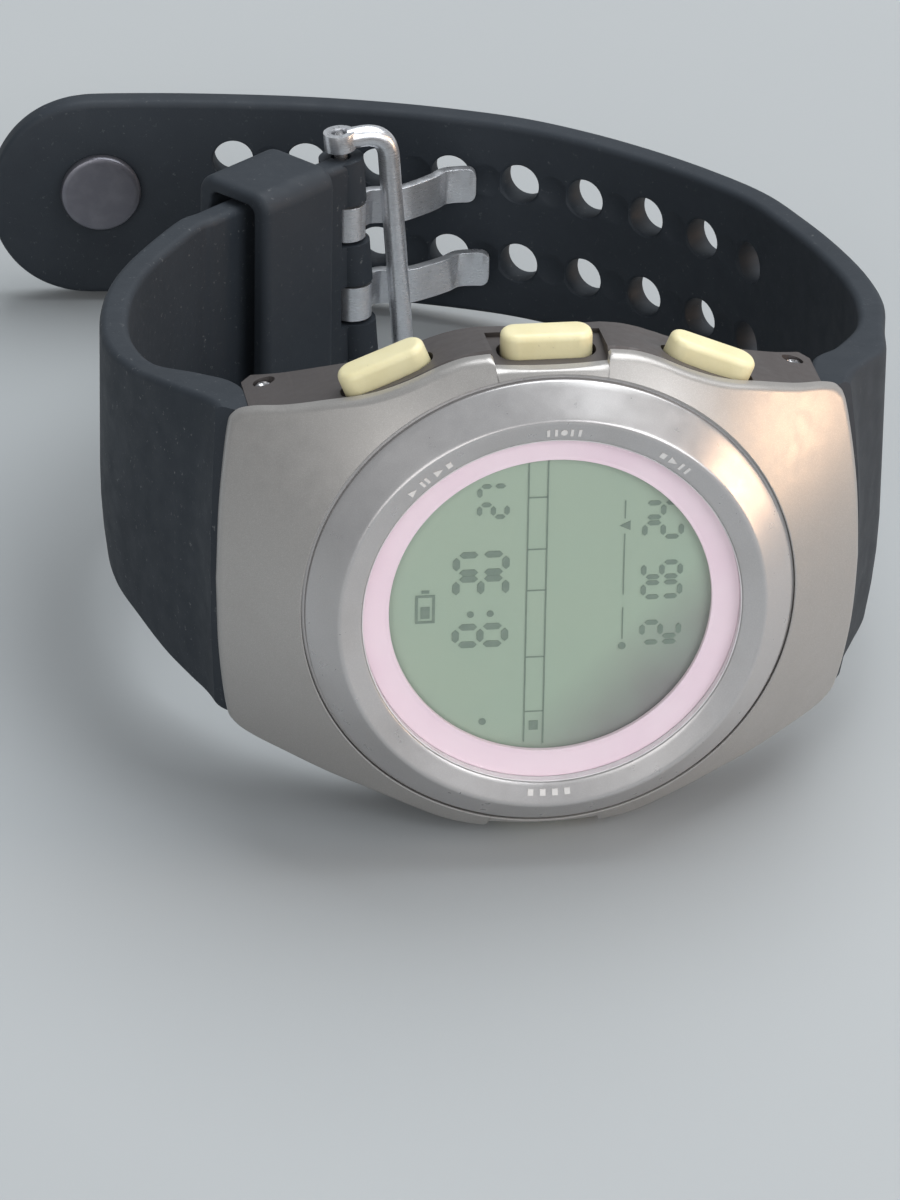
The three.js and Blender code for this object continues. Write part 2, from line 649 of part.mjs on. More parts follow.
piece('piezo_buzzer', disc(6, 10.75, 10.95, 32), 'brass');
piece('case_back', caseBack(), 'steel');
piece('case_back_gasket', ring(14.85, 15.55, 11.3, 11.85), 'seal');
screwPlaces().forEach((place, i) => piece(`case_back_screw_${i + 1}`, caseScrew(place), 'steel'));

for (const button of BUTTONS) {
  const group = new THREE.Group();
  group.position.set(button.x, button.y, button.z);
  group.rotation.y = THREE.MathUtils.degToRad(button.turn);
  watch.add(group);
  piece(`button_${button.name}`, buttonCap(), 'cream', group);
  piece(`button_spring_${button.name}`, buttonSpring(), 'steel', group);
  piece(`button_seal_${button.name}`, buttonSeal(), 'seal', group);
  piece(`button_clip_${button.name}`, buttonClip(), 'steel', group);
}

const lugPin = (x) => solid(rod(x, PIN.y, PIN.radius, -PIN.half, PIN.half));
piece('lug_pin_long', lugPin(PIN.x), 'steel');
piece('lug_pin_short', lugPin(-PIN.x), 'steel');
piece('long_strap', longStrap(), 'resin');
piece('tip_stud', tipStud(), 'greySteel');
const washer = ring(STUD.shank + 0.2, STUD.washer, 1.35, 1.85, 24);
piece('tip_stud_washer', atStud(washer), 'greySteel');
piece('short_strap', shortStrap(), 'resin');
piece('spring_bar', barRod(BAR.radius, -BAR.half, BAR.half), 'steel');
piece('keeper', keeper(), 'resin');
piece('buckle_frame', buckleFrame(), 'steel');
piece('prong_upper', prong(PRONG.upper, PRONG.row), 'steel');
piece('prong_lower', prong(PRONG.lower, -PRONG.row), 'steel');

// The watch stands on its 9 o'clock button and the strap's lower edge, and the origin is the
// middle of its footprint on that surface.
const assembly = new THREE.Group();
watch.rotation.x = -THREE.MathUtils.degToRad(REST_TILT);
assembly.add(watch);
assembly.updateMatrixWorld(true);
const extent = new THREE.Box3().setFromObject(assembly, true);
const middle = extent.getCenter(new THREE.Vector3());
watch.position.set(-middle.x, -middle.y, -extent.min.z);

export default assembly;
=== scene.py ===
import json
import math

import bmesh
import bpy
from mathutils import Matrix, Vector


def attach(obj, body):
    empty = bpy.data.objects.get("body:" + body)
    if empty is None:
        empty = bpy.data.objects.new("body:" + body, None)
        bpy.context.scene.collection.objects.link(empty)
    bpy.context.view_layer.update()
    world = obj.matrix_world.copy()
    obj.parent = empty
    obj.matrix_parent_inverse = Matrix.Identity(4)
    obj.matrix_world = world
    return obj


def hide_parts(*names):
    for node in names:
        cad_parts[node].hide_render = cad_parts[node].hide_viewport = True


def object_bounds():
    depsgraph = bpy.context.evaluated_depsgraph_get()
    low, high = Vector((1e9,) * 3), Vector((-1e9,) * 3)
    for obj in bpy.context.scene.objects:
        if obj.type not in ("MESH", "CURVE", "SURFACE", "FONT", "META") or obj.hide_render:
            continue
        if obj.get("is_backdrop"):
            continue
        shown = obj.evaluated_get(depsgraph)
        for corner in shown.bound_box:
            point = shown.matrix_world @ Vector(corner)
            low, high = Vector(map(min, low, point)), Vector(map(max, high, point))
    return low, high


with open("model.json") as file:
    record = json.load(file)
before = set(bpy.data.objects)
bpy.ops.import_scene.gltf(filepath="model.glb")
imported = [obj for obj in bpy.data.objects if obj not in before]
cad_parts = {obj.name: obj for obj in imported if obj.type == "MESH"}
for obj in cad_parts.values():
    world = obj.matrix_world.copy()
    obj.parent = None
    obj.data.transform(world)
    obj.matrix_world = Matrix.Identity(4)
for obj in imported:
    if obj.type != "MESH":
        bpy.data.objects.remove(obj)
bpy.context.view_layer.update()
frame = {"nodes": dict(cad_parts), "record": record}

MM = 0.001

# ---- The watch's own frame, from the record's two flat faces ----
CRYSTAL_FRONT = 0.5  # the glass face lies this far behind the bezel's ridge
MOUNTS = {mount["name"]: mount for mount in frame["record"]["mounts"]}
INWARD = Vector(MOUNTS["case_back_face"]["axis"])
ALONG = Vector((1.0, 0.0, 0.0))
BASIS = Matrix((ALONG, INWARD, ALONG.cross(INWARD))).transposed()
ORIGIN = Vector(MOUNTS["crystal_face"]["pos_m"]) - INWARD * CRYSTAL_FRONT * MM
WATCH = Matrix.Translation(ORIGIN) @ BASIS.to_4x4() @ Matrix.Scale(MM, 4)

# ---- Sizes, in millimetres ----
FASCIA = dict(inner=19.0, thickness=0.9, start=2.55, slope=0.82, curl=0.017)
NOTCH = dict(half=4.4, z=19.35)
CAVITY = 14.2
BODY = dict(inset=0.25, shelf=3.75, end=22.1, draft=0.0075, draft_start=8)
WRIST = dict(radius=37, nearest=11)
BACK = dict(half=15.8, corner=6.5, seat=11.75)
PIN = dict(x=20.5, y=15.6, radius=0.65)
TONGUE_HALF = 10.8
CAP = dict(length=7.0, depth=2.8, corner=1.25, out=1.6, under=0.7)
STEM = dict(radius=0.6, end=-5.2)
BUTTONS = {  # x, y, z and the turn about Y in degrees
    "light": (0, 7.0, 19.3, 0),
    "start": (-12.05, 7.9, 17.25, -22.5),
    "reset": (12.5, 7.95, 16.95, 22.5),
    "mode": (0, 6.8, -18.75, 180),
}
THICKNESS = 2.3  # of both straps
HOLES = dict(x=24.55, y=54.3, pitch=6.2, columns=9, row=3.6, radius=1.65)
STUD = dict(x=-27.2, y=80.4, z=0.8, disc=3.35, thick=0.8)
BAR = (-7.94, 65.6)  # the spring bar's x and y
BAR_RADIUS, BAR_HALF, BAR_BORE = 0.55, 11.4, 0.85
LEAN = math.radians(-4.6)  # how far the spring bar leans towards 12 o'clock
END_HEADING = math.radians(40.5)  # of the short strap's end, from X towards Y
END_HALF, END_BARREL = 9.2, 1.85
PRONG = dict(width=3.0, thick=0.8, eye=1.65, row=3.6, upper=26, lower=20.5)
ROD = dict(x=-3.94, y=66.2, radius=0.9, half=10.7, corner=2.2, eye=1.3)
KEEPER = dict(start=-14.1, length=8.3, wall=1.5, slot=4.8, half=11.1, slot_half=9.9)


# ---- Mesh helpers ----
def add(name, data):
    obj = bpy.data.objects.new(name, data)
    bpy.context.scene.collection.objects.link(obj)
    return obj


def mesh_object(name, verts, faces):
    """A mesh object whose coordinates are millimetres in the watch's frame."""
    mesh = bpy.data.meshes.new(name)
    mesh.from_pydata([tuple(v) for v in verts], [], faces)
    build = bmesh.new()
    build.from_mesh(mesh)
    bmesh.ops.remove_doubles(build, verts=build.verts, dist=1e-5)
    bmesh.ops.recalc_face_normals(build, faces=build.faces)
    if build.calc_volume(signed=True) < 0:
        bmesh.ops.reverse_faces(build, faces=build.faces)
    build.to_mesh(mesh)
    build.free()
    return add(name, mesh)


def drop(obj):
    mesh = obj.data
    bpy.data.objects.remove(obj)
    bpy.data.meshes.remove(mesh)


def settle(obj):
    """Applies the object's modifiers to its mesh."""
    bpy.context.view_layer.update()
    graph = bpy.context.evaluated_depsgraph_get()
    made = bpy.data.meshes.new_from_object(obj.evaluated_get(graph), depsgraph=graph)
    old = obj.data
    obj.modifiers.clear()
    obj.data = made
    bpy.data.meshes.remove(old)


def boolean(obj, tools, operation):
    """Combines a piece with each tool in turn, and uses the tools up."""
    for tool in tools:
        change = obj.modifiers.new("change", "BOOLEAN")
        change.operation = operation
        change.solver = "MANIFOLD"
        change.object = tool
        settle(obj)
        drop(tool)


def cut(obj, *tools):
    boolean(obj, tools, "DIFFERENCE")


def join(obj, *tools):
    boolean(obj, tools, "UNION")


def soften(obj, width, angle=35, segments=3):
    """Rounds the edges that are sharper than an angle."""
    bevel = obj.modifiers.new("soften", "BEVEL")
    bevel.width = width
    bevel.segments = segments
    bevel.limit_method = "ANGLE"
    bevel.angle_limit = math.radians(angle)
    bevel.use_clamp_overlap = True
    bevel.miter_outer = "MITER_ARC"
    settle(obj)


def grid(name, rows, closed=False, caps=False):
    """A surface through rings of points. The last ring may join the first, or both may be capped."""
    width = len(rows[0])
    verts = [point for row in rows for point in row]
    faces = []
    for i in range(len(rows) if closed else len(rows) - 1):
        step = ((i + 1) % len(rows) - i) * width
        for k in range(width):
            a = i * width + k
            b = i * width + (k + 1) % width
            faces.append((a, b, b + step, a + step))
    if caps:
        faces.append(tuple(range(width)))
        faces.append(tuple(range((len(rows) - 1) * width, len(rows) * width)))
    return mesh_object(name, verts, faces)


def circle(radius, count):
    turns = [math.tau * i / count for i in range(count)]
    return [(radius * math.cos(t), radius * math.sin(t)) for t in turns]


def turned(name, profile, count=192):
    """A piece turned about the Y axis from a closed loop of (radius, y), or from axis to axis."""
    rows = [[(x, y, z) for x, z in circle(r, count)] for r, y in profile]
    whole = min(r for r, _ in profile) <= 0
    return grid(name, rows, closed=not whole)


def spindle(name, centre, profile, count=32, caps=False):
    """A round piece along Z, through (radius, z) stations."""
    rows = [[(centre[0] + x, centre[1] + y, z) for x, y in circle(r, count)] for r, z in profile]
    return grid(name, rows, caps=caps)


def both_ends(stations):
    """The stations of one end, and the same again at the other end."""
    return stations + [(r, -z) for r, z in reversed(stations)]


def rod(name, centre, radius, z0, z1, count=48):
    return spindle(name, centre, [(radius, z0), (radius, z1)], count, caps=True)


def block(name, low, high):
    xs, ys, zs = zip(low, high)
    verts = [(x, y, z) for x in xs for y in ys for z in zs]
    faces = [(0, 1, 3, 2), (4, 6, 7, 5), (0, 4, 5, 1), (2, 3, 7, 6), (0, 2, 6, 4), (1, 5, 7, 3)]
    return mesh_object(name, verts, faces)


def prism(name, points, corner):
    """A flat outline swept between two levels; corner(point, level) gives each corner."""
    rows = [[corner(point, level) for point in points] for level in (0, 1)]
    return grid(name, rows, caps=True)


def arc(centre, radius, start, end, steps):
    turns = [start + (end - start) * i / steps for i in range(steps + 1)]
    return [(centre[0] + radius * math.cos(t), centre[1] + radius * math.sin(t)) for t in turns]


def rounded_rect(half_x, half_y, radius, steps=8):
    radius = max(radius, 0.01)
    x, y = half_x - radius, half_y - radius
    quarter = math.pi / 2
    points = []
    for i, corner in enumerate([(x, y), (-x, y), (-x, -y), (x, -y)]):
        points += arc(corner, radius, i * quarter, (i + 1) * quarter, steps)
    return points


def spline(points, per_span):
    """A uniform Catmull-Rom curve through points of any dimension."""
    def at(i):
        return Vector(points[min(max(i, 0), len(points) - 1)])
    curve = []
    for i in range(len(points) - 1):
        p0, p1, p2, p3 = at(i - 1), at(i), at(i + 1), at(i + 2)
        for k in range(per_span):
            t = k / per_span
            curve.append(0.5 * (2 * p1 + (p2 - p0) * t + (2 * p0 - 5 * p1 + 4 * p2 - p3) * t * t
                                + (3 * p1 - p0 - 3 * p2 + p3) * t ** 3))
    curve.append(at(len(points) - 1))
    return curve


def place(obj, body, look, node, smooth=32, matrix=None):
    """Moves a finished piece onto the frame, in the place of a CAD node if one is named, and shades it."""
    if matrix is not None:
        obj.data.transform(matrix)
    obj.data.transform(WATCH)
    obj.data.shade_smooth()
    obj.data.set_sharp_from_angle(angle=math.radians(smooth))
    even = obj.modifiers.new("even", "WEIGHTED_NORMAL")
    even.keep_sharp = True
    obj.data.materials.clear()
    obj.data.materials.append(LOOKS[look])
    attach(obj, body)
    if node:
        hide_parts(node)


# ---- Materials ----
def srgb(*levels):
    """An sRGB colour in 0 to 255, as the linear colour that shaders take."""
    linear = [((v / 255 + 0.055) / 1.055) ** 2.4 if v > 10 else v / 255 / 12.92 for v in levels]
    return (*linear, 1.0)


class Look:
    """A node material on one Principled shader, with coordinates in the watch's millimetres."""

    def __init__(self, name, color, roughness, metallic=0.0, **fixed):
        self.material = bpy.data.materials.new(name)
        self.material.use_nodes = True
        self.tree = self.material.node_tree
        self.shader = self.tree.nodes["Principled BSDF"]
        self.shader.inputs["Base Color"].default_value = color
        self.shader.inputs["Roughness"].default_value = roughness
        self.shader.inputs["Metallic"].default_value = metallic
        for socket, value in fixed.items():
            self.shader.inputs[socket.replace("_", " ")].default_value = value
        self.color = color
        self.height = None
        source = self.node("ShaderNodeTexCoord").outputs["Object"]
        mapping = self.node("ShaderNodeMapping", vector_type="TEXTURE")
        mapping.inputs["Location"].default_value = ORIGIN
        mapping.inputs["Rotation"].default_value = BASIS.to_euler()
        mapping.inputs["Scale"].default_value = (MM, MM, MM)
        self.link(source, mapping.inputs["Vector"])
        self.place = mapping.outputs["Vector"]

    def node(self, kind, **settings):
        made = self.tree.nodes.new(kind)
        for name, value in settings.items():
            setattr(made, name, value)
        return made

    def link(self, source, target):
        self.tree.links.new(source, target)

    def noise(self, scale, detail=2.0, stretch=(1, 1, 1), rough=0.5):
        mapping = self.node("ShaderNodeMapping")
        mapping.inputs["Scale"].default_value = stretch
        self.link(self.place, mapping.inputs["Vector"])
        made = self.node("ShaderNodeTexNoise")
        made.inputs["Scale"].default_value = scale
        made.inputs["Detail"].default_value = detail
        made.inputs["Roughness"].default_value = rough
        self.link(mapping.outputs["Vector"], made.inputs["Vector"])
        return made.outputs["Fac"]

    def ramp(self, value, low, high, to_low=0.0, to_high=1.0):
        made = self.node("ShaderNodeMapRange")
        for name, setting in zip(("From Min", "From Max", "To Min", "To Max"), (low, high, to_low, to_high)):
            made.inputs[name].default_value = setting
        self.link(value, made.inputs["Value"])
        return made.outputs["Result"]

    def math(self, operation, *values):
        made = self.node("ShaderNodeMath", operation=operation)
        for socket, value in zip(made.inputs, values):
            if isinstance(value, (int, float)):
                socket.default_value = value
            else:
                self.link(value, socket)
        return made.outputs[0]

    def axis(self, name):
        split = self.node("ShaderNodeSeparateXYZ")
        self.link(self.place, split.inputs[0])
        return split.outputs[name]

    def tint(self, share, color):
        """Mixes a colour in where share is high."""
        mix = self.node("ShaderNodeMix", data_type="RGBA")
        base = self.shader.inputs["Base Color"]
        if base.is_linked:
            self.link(base.links[0].from_socket, mix.inputs["A"])
        else:
            mix.inputs["A"].default_value = self.color
        mix.inputs["B"].default_value = color
        self.link(share, mix.inputs["Factor"])
        self.link(mix.outputs["Result"], base)
        return self

    def roughen(self, value, low, high):
        """Lets a pattern drive the roughness between two values."""
        self.link(self.ramp(value, 0.3, 0.7, low, high), self.shader.inputs["Roughness"])
        return self

    def bump(self, value, height_mm):
        """Adds relief: the pattern's full range stands height_mm high."""
        made = self.node("ShaderNodeBump")
        made.inputs["Strength"].default_value = 1.0
        made.inputs["Distance"].default_value = height_mm * MM
        self.link(value, made.inputs["Height"])
        if self.height is not None:
            self.link(self.height, made.inputs["Normal"])
        self.height = made.outputs["Normal"]
        self.link(self.height, self.shader.inputs["Normal"])
        return self


def strap_look(name, dusty=0.35):
    look = Look(name, srgb(38, 44, 51), 0.62, Specular_IOR_Level=0.35)
    look.tint(look.ramp(look.noise(0.12, 2), 0.3, 0.75), srgb(43, 49, 56))
    dust = look.math("MULTIPLY", look.ramp(look.noise(2.2, 5, rough=0.7), 0.62, 0.72), look.noise(0.25, 2))
    look.tint(look.math("MULTIPLY", dust, dusty), srgb(150, 152, 152))
    look.roughen(look.noise(0.5, 4), 0.6, 0.74)
    look.bump(look.noise(7, 3), 0.01)
    return look.material


def silver_look(name, color, roughness, metallic):
    look = Look(name, color, roughness, metallic, Coat_Weight=0.15, Coat_Roughness=0.25)
    look.tint(look.ramp(look.noise(18, 2), 0.45, 0.75, 0, 0.3), srgb(225, 224, 222))
    look.tint(look.ramp(look.noise(0.15, 3), 0.5, 0.75, 0, 0.25), srgb(158, 154, 150))
    look.roughen(look.noise(0.9, 4), roughness - 0.03, roughness + 0.05)
    look.bump(look.noise(5, 2), 0.0012)
    return look.material


def mottled(look, patches, color, gloss, grain):
    """Soft patches (scale, share) of a colour, an uneven gloss (scale, detail, low, high) and a grain."""
    scale, share = patches
    look.tint(look.ramp(look.noise(scale, 3), 0.4, 0.7, 0, share), color)
    scale, detail, low, high = gloss
    look.roughen(look.noise(scale, detail), low, high)
    scale, detail, height = grain
    look.bump(look.noise(scale, detail), height)
    return look.material


def case_look():
    look = Look("case_resin_look", srgb(78, 73, 72), 0.42, 0.15)
    return mottled(look, (0.2, 0.5), srgb(72, 67, 66), (1.2, 4, 0.42, 0.54), (10, 2, 0.004))


def cream_look():
    look = Look("button_cream_look", srgb(226, 217, 176), 0.42, Subsurface_Weight=0.08)
    look.shader.inputs["Subsurface Radius"].default_value = (0.0012, 0.001, 0.0006)
    mottled(look, (0.35, 0.6), srgb(214, 203, 158), (1.4, 3, 0.36, 0.5), (3, 3, 0.012))
    grime = look.ramp(look.noise(3.5, 5, rough=0.7), 0.64, 0.74)
    return look.tint(look.math("MULTIPLY", grime, 0.5), srgb(160, 146, 112)).material


def steel_look(name, color, roughness, stretch=(1, 1, 30), metallic=0.92):
    look = Look(name, color, roughness, metallic)
    brushed = look.noise(1.2, 3, stretch=stretch)
    look.tint(look.ramp(look.noise(0.6, 3), 0.45, 0.75, 0, 0.2), srgb(160, 160, 164))
    look.roughen(brushed, roughness - 0.06, roughness + 0.1)
    look.bump(brushed, 0.0015)
    return look.material


def pink_look():
    look = Look("ring_pink_look", srgb(250, 226, 238), 0.5)
    return mottled(look, (0.2, 0.6), srgb(244, 214, 230), (2, 3, 0.42, 0.56), (9, 2, 0.006))


def display_look():
    look = Look("display_look", srgb(166, 182, 164), 0.4)
    # Painted shadow: the display is tinted a darker purple grey towards its lower right, where the ring's
    # shadow falls.
    slant = 0.62
    ring_shadow = look.math("MULTIPLY", look.math("SUBTRACT", look.axis("X"), look.axis("Z")), slant)
    look.tint(look.ramp(ring_shadow, 5, 12.4, 0, 0.95), srgb(112, 94, 108))
    look.tint(look.ramp(look.noise(0.18, 2), 0.4, 0.75, 0, 0.3), srgb(160, 180, 164))
    look.roughen(look.noise(1.0, 3), 0.36, 0.46)
    return look.material


def segment_look():
    look = Look("display_segment_look", srgb(116, 132, 120), 0.5)
    look.tint(look.ramp(look.noise(1.5, 2), 0.4, 0.7, 0, 0.5), srgb(130, 146, 132))
    return look.material


def glass_look():
    """Clear mineral glass, more of a mirror the more it is seen aslant."""
    look = Look("mineral_glass_look", (1, 1, 1, 1), 0.05)
    see = look.node("ShaderNodeBsdfTransparent")
    see.inputs["Color"].default_value = (0.98, 0.985, 0.98, 1)
    mirror = look.node("ShaderNodeBsdfGlossy")
    mirror.inputs["Color"].default_value = (1, 1, 1, 1)
    look.link(look.ramp(look.noise(0.25, 4), 0.35, 0.7, 0.04, 0.12), mirror.inputs["Roughness"])
    aslant = look.node("ShaderNodeLayerWeight").outputs["Facing"]
    head_on_share = 0.04
    share = look.ramp(look.math("POWER", aslant, 5), 0, 1, head_on_share, 1)
    mix = look.node("ShaderNodeMixShader")
    look.link(share, mix.inputs["Fac"])
    look.link(see.outputs[0], mix.inputs[1])
    look.link(mirror.outputs[0], mix.inputs[2])
    look.tree.nodes.remove(look.shader)
    look.link(mix.outputs[0], look.tree.nodes["Material Output"].inputs["Surface"])
    return look.material


def plain_look(name, color, roughness, metallic=0.0):
    look = Look(name, color, roughness, metallic)
    darker = (*(c * 0.8 for c in color[:3]), 1.0)
    return mottled(look, (0.5, 0.6), darker, (1.5, 3, roughness - 0.07, roughness + 0.08), (6, 2, 0.008))


def back_steel_look():
    """Circular brushing about the watch's axis."""
    look = Look("back_steel_look", srgb(168, 168, 170), 0.3, 0.95)
    x, z = look.axis("X"), look.axis("Z")
    radius = look.math("SQRT", look.math("ADD", look.math("MULTIPLY", x, x), look.math("MULTIPLY", z, z)))
    rings = look.node("ShaderNodeTexNoise", noise_dimensions="1D")
    rings.inputs["Scale"].default_value = 9
    rings.inputs["Detail"].default_value = 4
    look.link(radius, rings.inputs["W"])
    look.roughen(rings.outputs["Fac"], 0.22, 0.4)
    look.bump(rings.outputs["Fac"], 0.006)
    look.tint(look.ramp(look.noise(0.3, 3), 0.5, 0.75, 0, 0.4), srgb(140, 139, 139))
    return look.material


LOOKS = {
    "strap": strap_look("strap_resin_look"),
    "strap_short": strap_look("strap_short_look", dusty=0.8),
    "fascia": silver_look("fascia_paint_look", srgb(164, 161, 158), 0.36, 0.55),
    "bezel": silver_look("bezel_paint_look", srgb(182, 180, 180), 0.3, 0.6),
    "case": case_look(),
    "cream": cream_look(),
    "steel": steel_look("buckle_steel_look", srgb(222, 224, 228), 0.3, metallic=0.85),
    "pin": steel_look("pin_steel_look", srgb(190, 190, 192), 0.25),
    "stud": steel_look("stud_steel_look", srgb(112, 112, 120), 0.34, stretch=(4, 30, 4), metallic=0.75),
    "pink": pink_look(),
    "display": display_look(),
    "segment": segment_look(),
    "glass": glass_look(),
    "back": back_steel_look(),
    "mark": plain_look("bezel_mark_look", srgb(214, 212, 210), 0.5),
    "seal": plain_look("seal_look", srgb(36, 36, 38), 0.6),
    "nylon": plain_look("gasket_nylon_look", srgb(226, 224, 226), 0.45),
    "white": plain_look("module_look", srgb(225, 225, 220), 0.5),
    "board": plain_look("board_look", srgb(50, 105, 70), 0.45),
    "film": plain_look("film_look", srgb(190, 214, 200), 0.5),
    "brass": plain_look("brass_look", srgb(190, 160, 95), 0.3, 0.9),
}


# ---- Case ----
def fascia_front(r):
    past = r - FASCIA["inner"]
    return FASCIA["start"] + FASCIA["slope"] * past + FASCIA["curl"] * past * past


def outline(inset, per_span=8, notched=False):
    """The plan outline of the case as (x, z) points, all the way round."""
    side = [(24.85, 0), (24.6, 6), (23.9, 11.6), (23.3, 13.1), (22.0, 13.9), (19.6, 14.65), (16.6, 15.7),
            (13.5, 16.7), (10.8, 17.85), (8.4, 19.0), (6.6, 19.65), (4.9, 19.95)]
    quarter = spline([(x - inset, max(z - inset, 0)) for x, z in side], per_span)
    if notched:
        quarter = [p for p in quarter if p.x > NOTCH["half"] + 0.5]
        half, floor = NOTCH["half"], NOTCH["z"]
        step = [(half + 0.16, 19.97), (half, 19.82), (half - 0.01, floor + 0.12), (half - 0.12, floor)]
        quarter += [Vector(p) for p in step + [(x, floor) for x in (3.4, 2.4, 1.4, 0.5)]]
    top = [(p.x, p.y) for p in quarter]
    top += [(-x, z) for x, z in reversed(top)]
    return top + [(x, -z) for x, z in reversed(top[1:-1])]


def fascia():
    inner, thick = FASCIA["inner"], FASCIA["thickness"]
    steps = 16
    columns = []
    for x, z in outline(0, notched=True):
        reach = math.hypot(x, z)
        fillet = min(0.35, (reach - inner - 0.12) * 0.5)
        stop = reach - fillet
        ring = [(inner, fascia_front(inner) + thick), (inner, fascia_front(inner) + 0.1),
                (inner + 0.1, fascia_front(inner + 0.1))]
        ring += [(r, fascia_front(r)) for r in
                 (inner + 0.1 + (stop - inner - 0.12) * i / steps for i in range(1, steps + 1))]
        ring.append((stop, fascia_front(stop)))
        for i in range(1, 5):
            turn = math.pi / 2 * i / 4
            drop_by = 0.8 * math.sin(turn) + 1.3 * (1 - math.cos(turn))
            ring.append((stop + fillet * math.sin(turn), fascia_front(stop) + fillet * drop_by))
        ring.append((reach, fascia_front(reach) + thick + 0.1))
        columns.append([(r * x / reach, y, r * z / reach) for r, y in ring])
    obj = grid("fascia_shell", columns, closed=True)
    place(obj, "case", "fascia", "fascia", smooth=40)


def bezel():
    lip = [(14.62, 1.0), (14.62, 0.6), (14.64, 0.54), (14.7, 0.5)]
    chamfer = [(14.7 + 1.4 * i / 6, 0.5 - 0.46 * i / 6) for i in range(1, 7)]
    ridge = [(16.2, 0.01), (16.3, 0.0), (16.42, 0.02), (16.52, 0.075), (16.62, 0.17)]
    slope = [(16.62 + 2.02 * i / 6, 0.17 + 2.14 * i / 6) for i in range(1, 7)]
    foot = [(18.7, 2.4), (18.73, 2.5), (18.75, 2.85), (18.95, 2.9), (18.95, 3.45), (15.5, 3.45), (15.5, 1.0)]
    obj = turned("bezel_ring", lip + chamfer + ridge + slope + foot, 256)
    place(obj, "case", "bezel", "bezel", smooth=38)


def button_matrix(name):
    x, y, z, turn = BUTTONS[name]
    return Matrix.Translation((x, y, z)) @ Matrix.Rotation(math.radians(turn), 4, "Y")


def button_pocket(name):
    """The hollow that a button slides in, as a tool to cut the case with."""
    gap = 0.3
    shape = rounded_rect(CAP["length"] / 2 + gap, CAP["depth"] / 2 + gap, CAP["corner"] + gap)
    pocket = prism("pocket", shape, lambda p, level: (p[0], p[1], -1.8 + 6 * level))
    pocket.data.transform(button_matrix(name))
    return pocket


def case_body():
    def tapered(point, level):
        y = 20 * level
        return (point[0], y, point[1] * (1 - BODY["draft"] * (y - BODY["draft_start"])))
    body = prism("case_shell", outline(BODY["inset"], per_span=3), tapered)
    front = [(r, fascia_front(r) + FASCIA["thickness"] + 0.3) for r in (19.05, 20.5, 22, 23.5, 25, 27, 30)]
    behind = turned("behind", [(0, BODY["shelf"]), (18.95, BODY["shelf"]), *front, (30, 25), (0, 25)], 128)
    radius, nearest, end = WRIST["radius"], WRIST["nearest"], BODY["end"]
    xs = [(end - 0.8) * i / 16 for i in range(-16, 17)]
    wrist = [(x, nearest + radius - math.sqrt(radius * radius - x * x)) for x in xs]
    profile = [(-end, 0), (end, 0), (end, wrist[-1][1] - 0.8), *reversed(wrist), (-end, wrist[0][1] - 0.8)]
    side = prism("side", profile, lambda p, level: (p[0], p[1], -25 + 50 * level))
    boolean(body, [behind, side], "INTERSECT")
    seat, corner, half = BACK["seat"], BACK["corner"], BACK["half"]
    boss = prism("boss", rounded_rect(half + 1, half + 1, corner + 1),
                 lambda p, level: (p[0], 9 + (seat - 9) * level, p[1]))
    join(body, boss)
    recess = prism("recess", rounded_rect(half + 0.3, half + 0.3, corner + 0.3),
                   lambda p, level: (p[0], seat + 13 * level, p[1]))
    cavity = turned("cavity", [(0, 0), (CAVITY, 0), (CAVITY, 20), (0, 20)], 128)
    tools = [recess, cavity]
    for sign in (-1, 1):
        ends = sorted((sign * (PIN["x"] - 2.5), sign * 24))
        half_slot = TONGUE_HALF + 0.3
        tools.append(block("slot", (ends[0], 13.1, -half_slot), (ends[1], 20, half_slot)))
        tools.append(rod("pin_hole", (sign * PIN["x"], PIN["y"]), PIN["radius"] + 0.2, -20, 20))
        levels = sorted((sign * 19.1, sign * 25))
        tools.append(block("notch", (-NOTCH["half"], 0, levels[0]), (NOTCH["half"], 9.6, levels[1])))
    tools += [button_pocket(name) for name in BUTTONS]
    cut(body, *tools)
    soften(body, 0.22, angle=38)
    place(body, "case", "case", "case_body", smooth=40)


def strap_pin(side):
    """A strap pin: a plain rod whose ends are dished."""
    radius = PIN["radius"]
    end = [(0.0, 12.75), (radius * 0.5, 12.72), (radius * 0.75, 12.85), (radius - 0.12, 12.98),
           (radius, 12.86), (radius, 12.0)]
    name = "long" if side > 0 else "short"
    pin = spindle(f"strap_pin_{name}", (side * PIN["x"], PIN["y"]), both_ends(end))
    place(pin, "case", "pin", f"lug_pin_{name}")


def crystal():
    front, back, radius = CRYSTAL_FRONT, 1.3, 14.5
    profile = [(0, front), (4, front), (9, front), (radius - 0.2, front), (radius - 0.06, front + 0.06),
               (radius, front + 0.2), (radius, back), (0, back)]
    glass = turned("window_glass", profile, 160)
    place(glass, "case", "glass", "crystal", smooth=30)


def crystal_gasket():
    """The pale nylon ring that the glass is pressed into."""
    profile = [(14.52, 0.62), (14.57, 0.58), (14.6, 0.62), (14.6, 1.05), (15.2, 1.05), (15.2, 2.4),
               (14.6, 2.4), (14.6, 1.36), (14.52, 1.32)]
    gasket = turned("glass_gasket", profile)
    place(gasket, "case", "nylon", "crystal_gasket")


def display_ring():
    """A pale ring round the display, a little dished, with a rolled inner edge."""
    profile = [(12.4, 2.0), (12.4, 1.68), (12.44, 1.62), (12.56, 1.6), (12.66, 1.62), (12.74, 1.61),
               (14.46, 1.36), (14.54, 1.4), (14.54, 2.0)]
    ring = turned("display_ring", profile)
    place(ring, "case", "pink", "chapter_ring")


def display():
    profile = [(0, 2.3), (6, 2.3), (12, 2.3), (13.3, 2.3), (13.4, 2.4), (13.4, 3.4), (0, 3.4)]
    place(turned("display_glass", profile, 96), "case", "display", "lcd_panel")


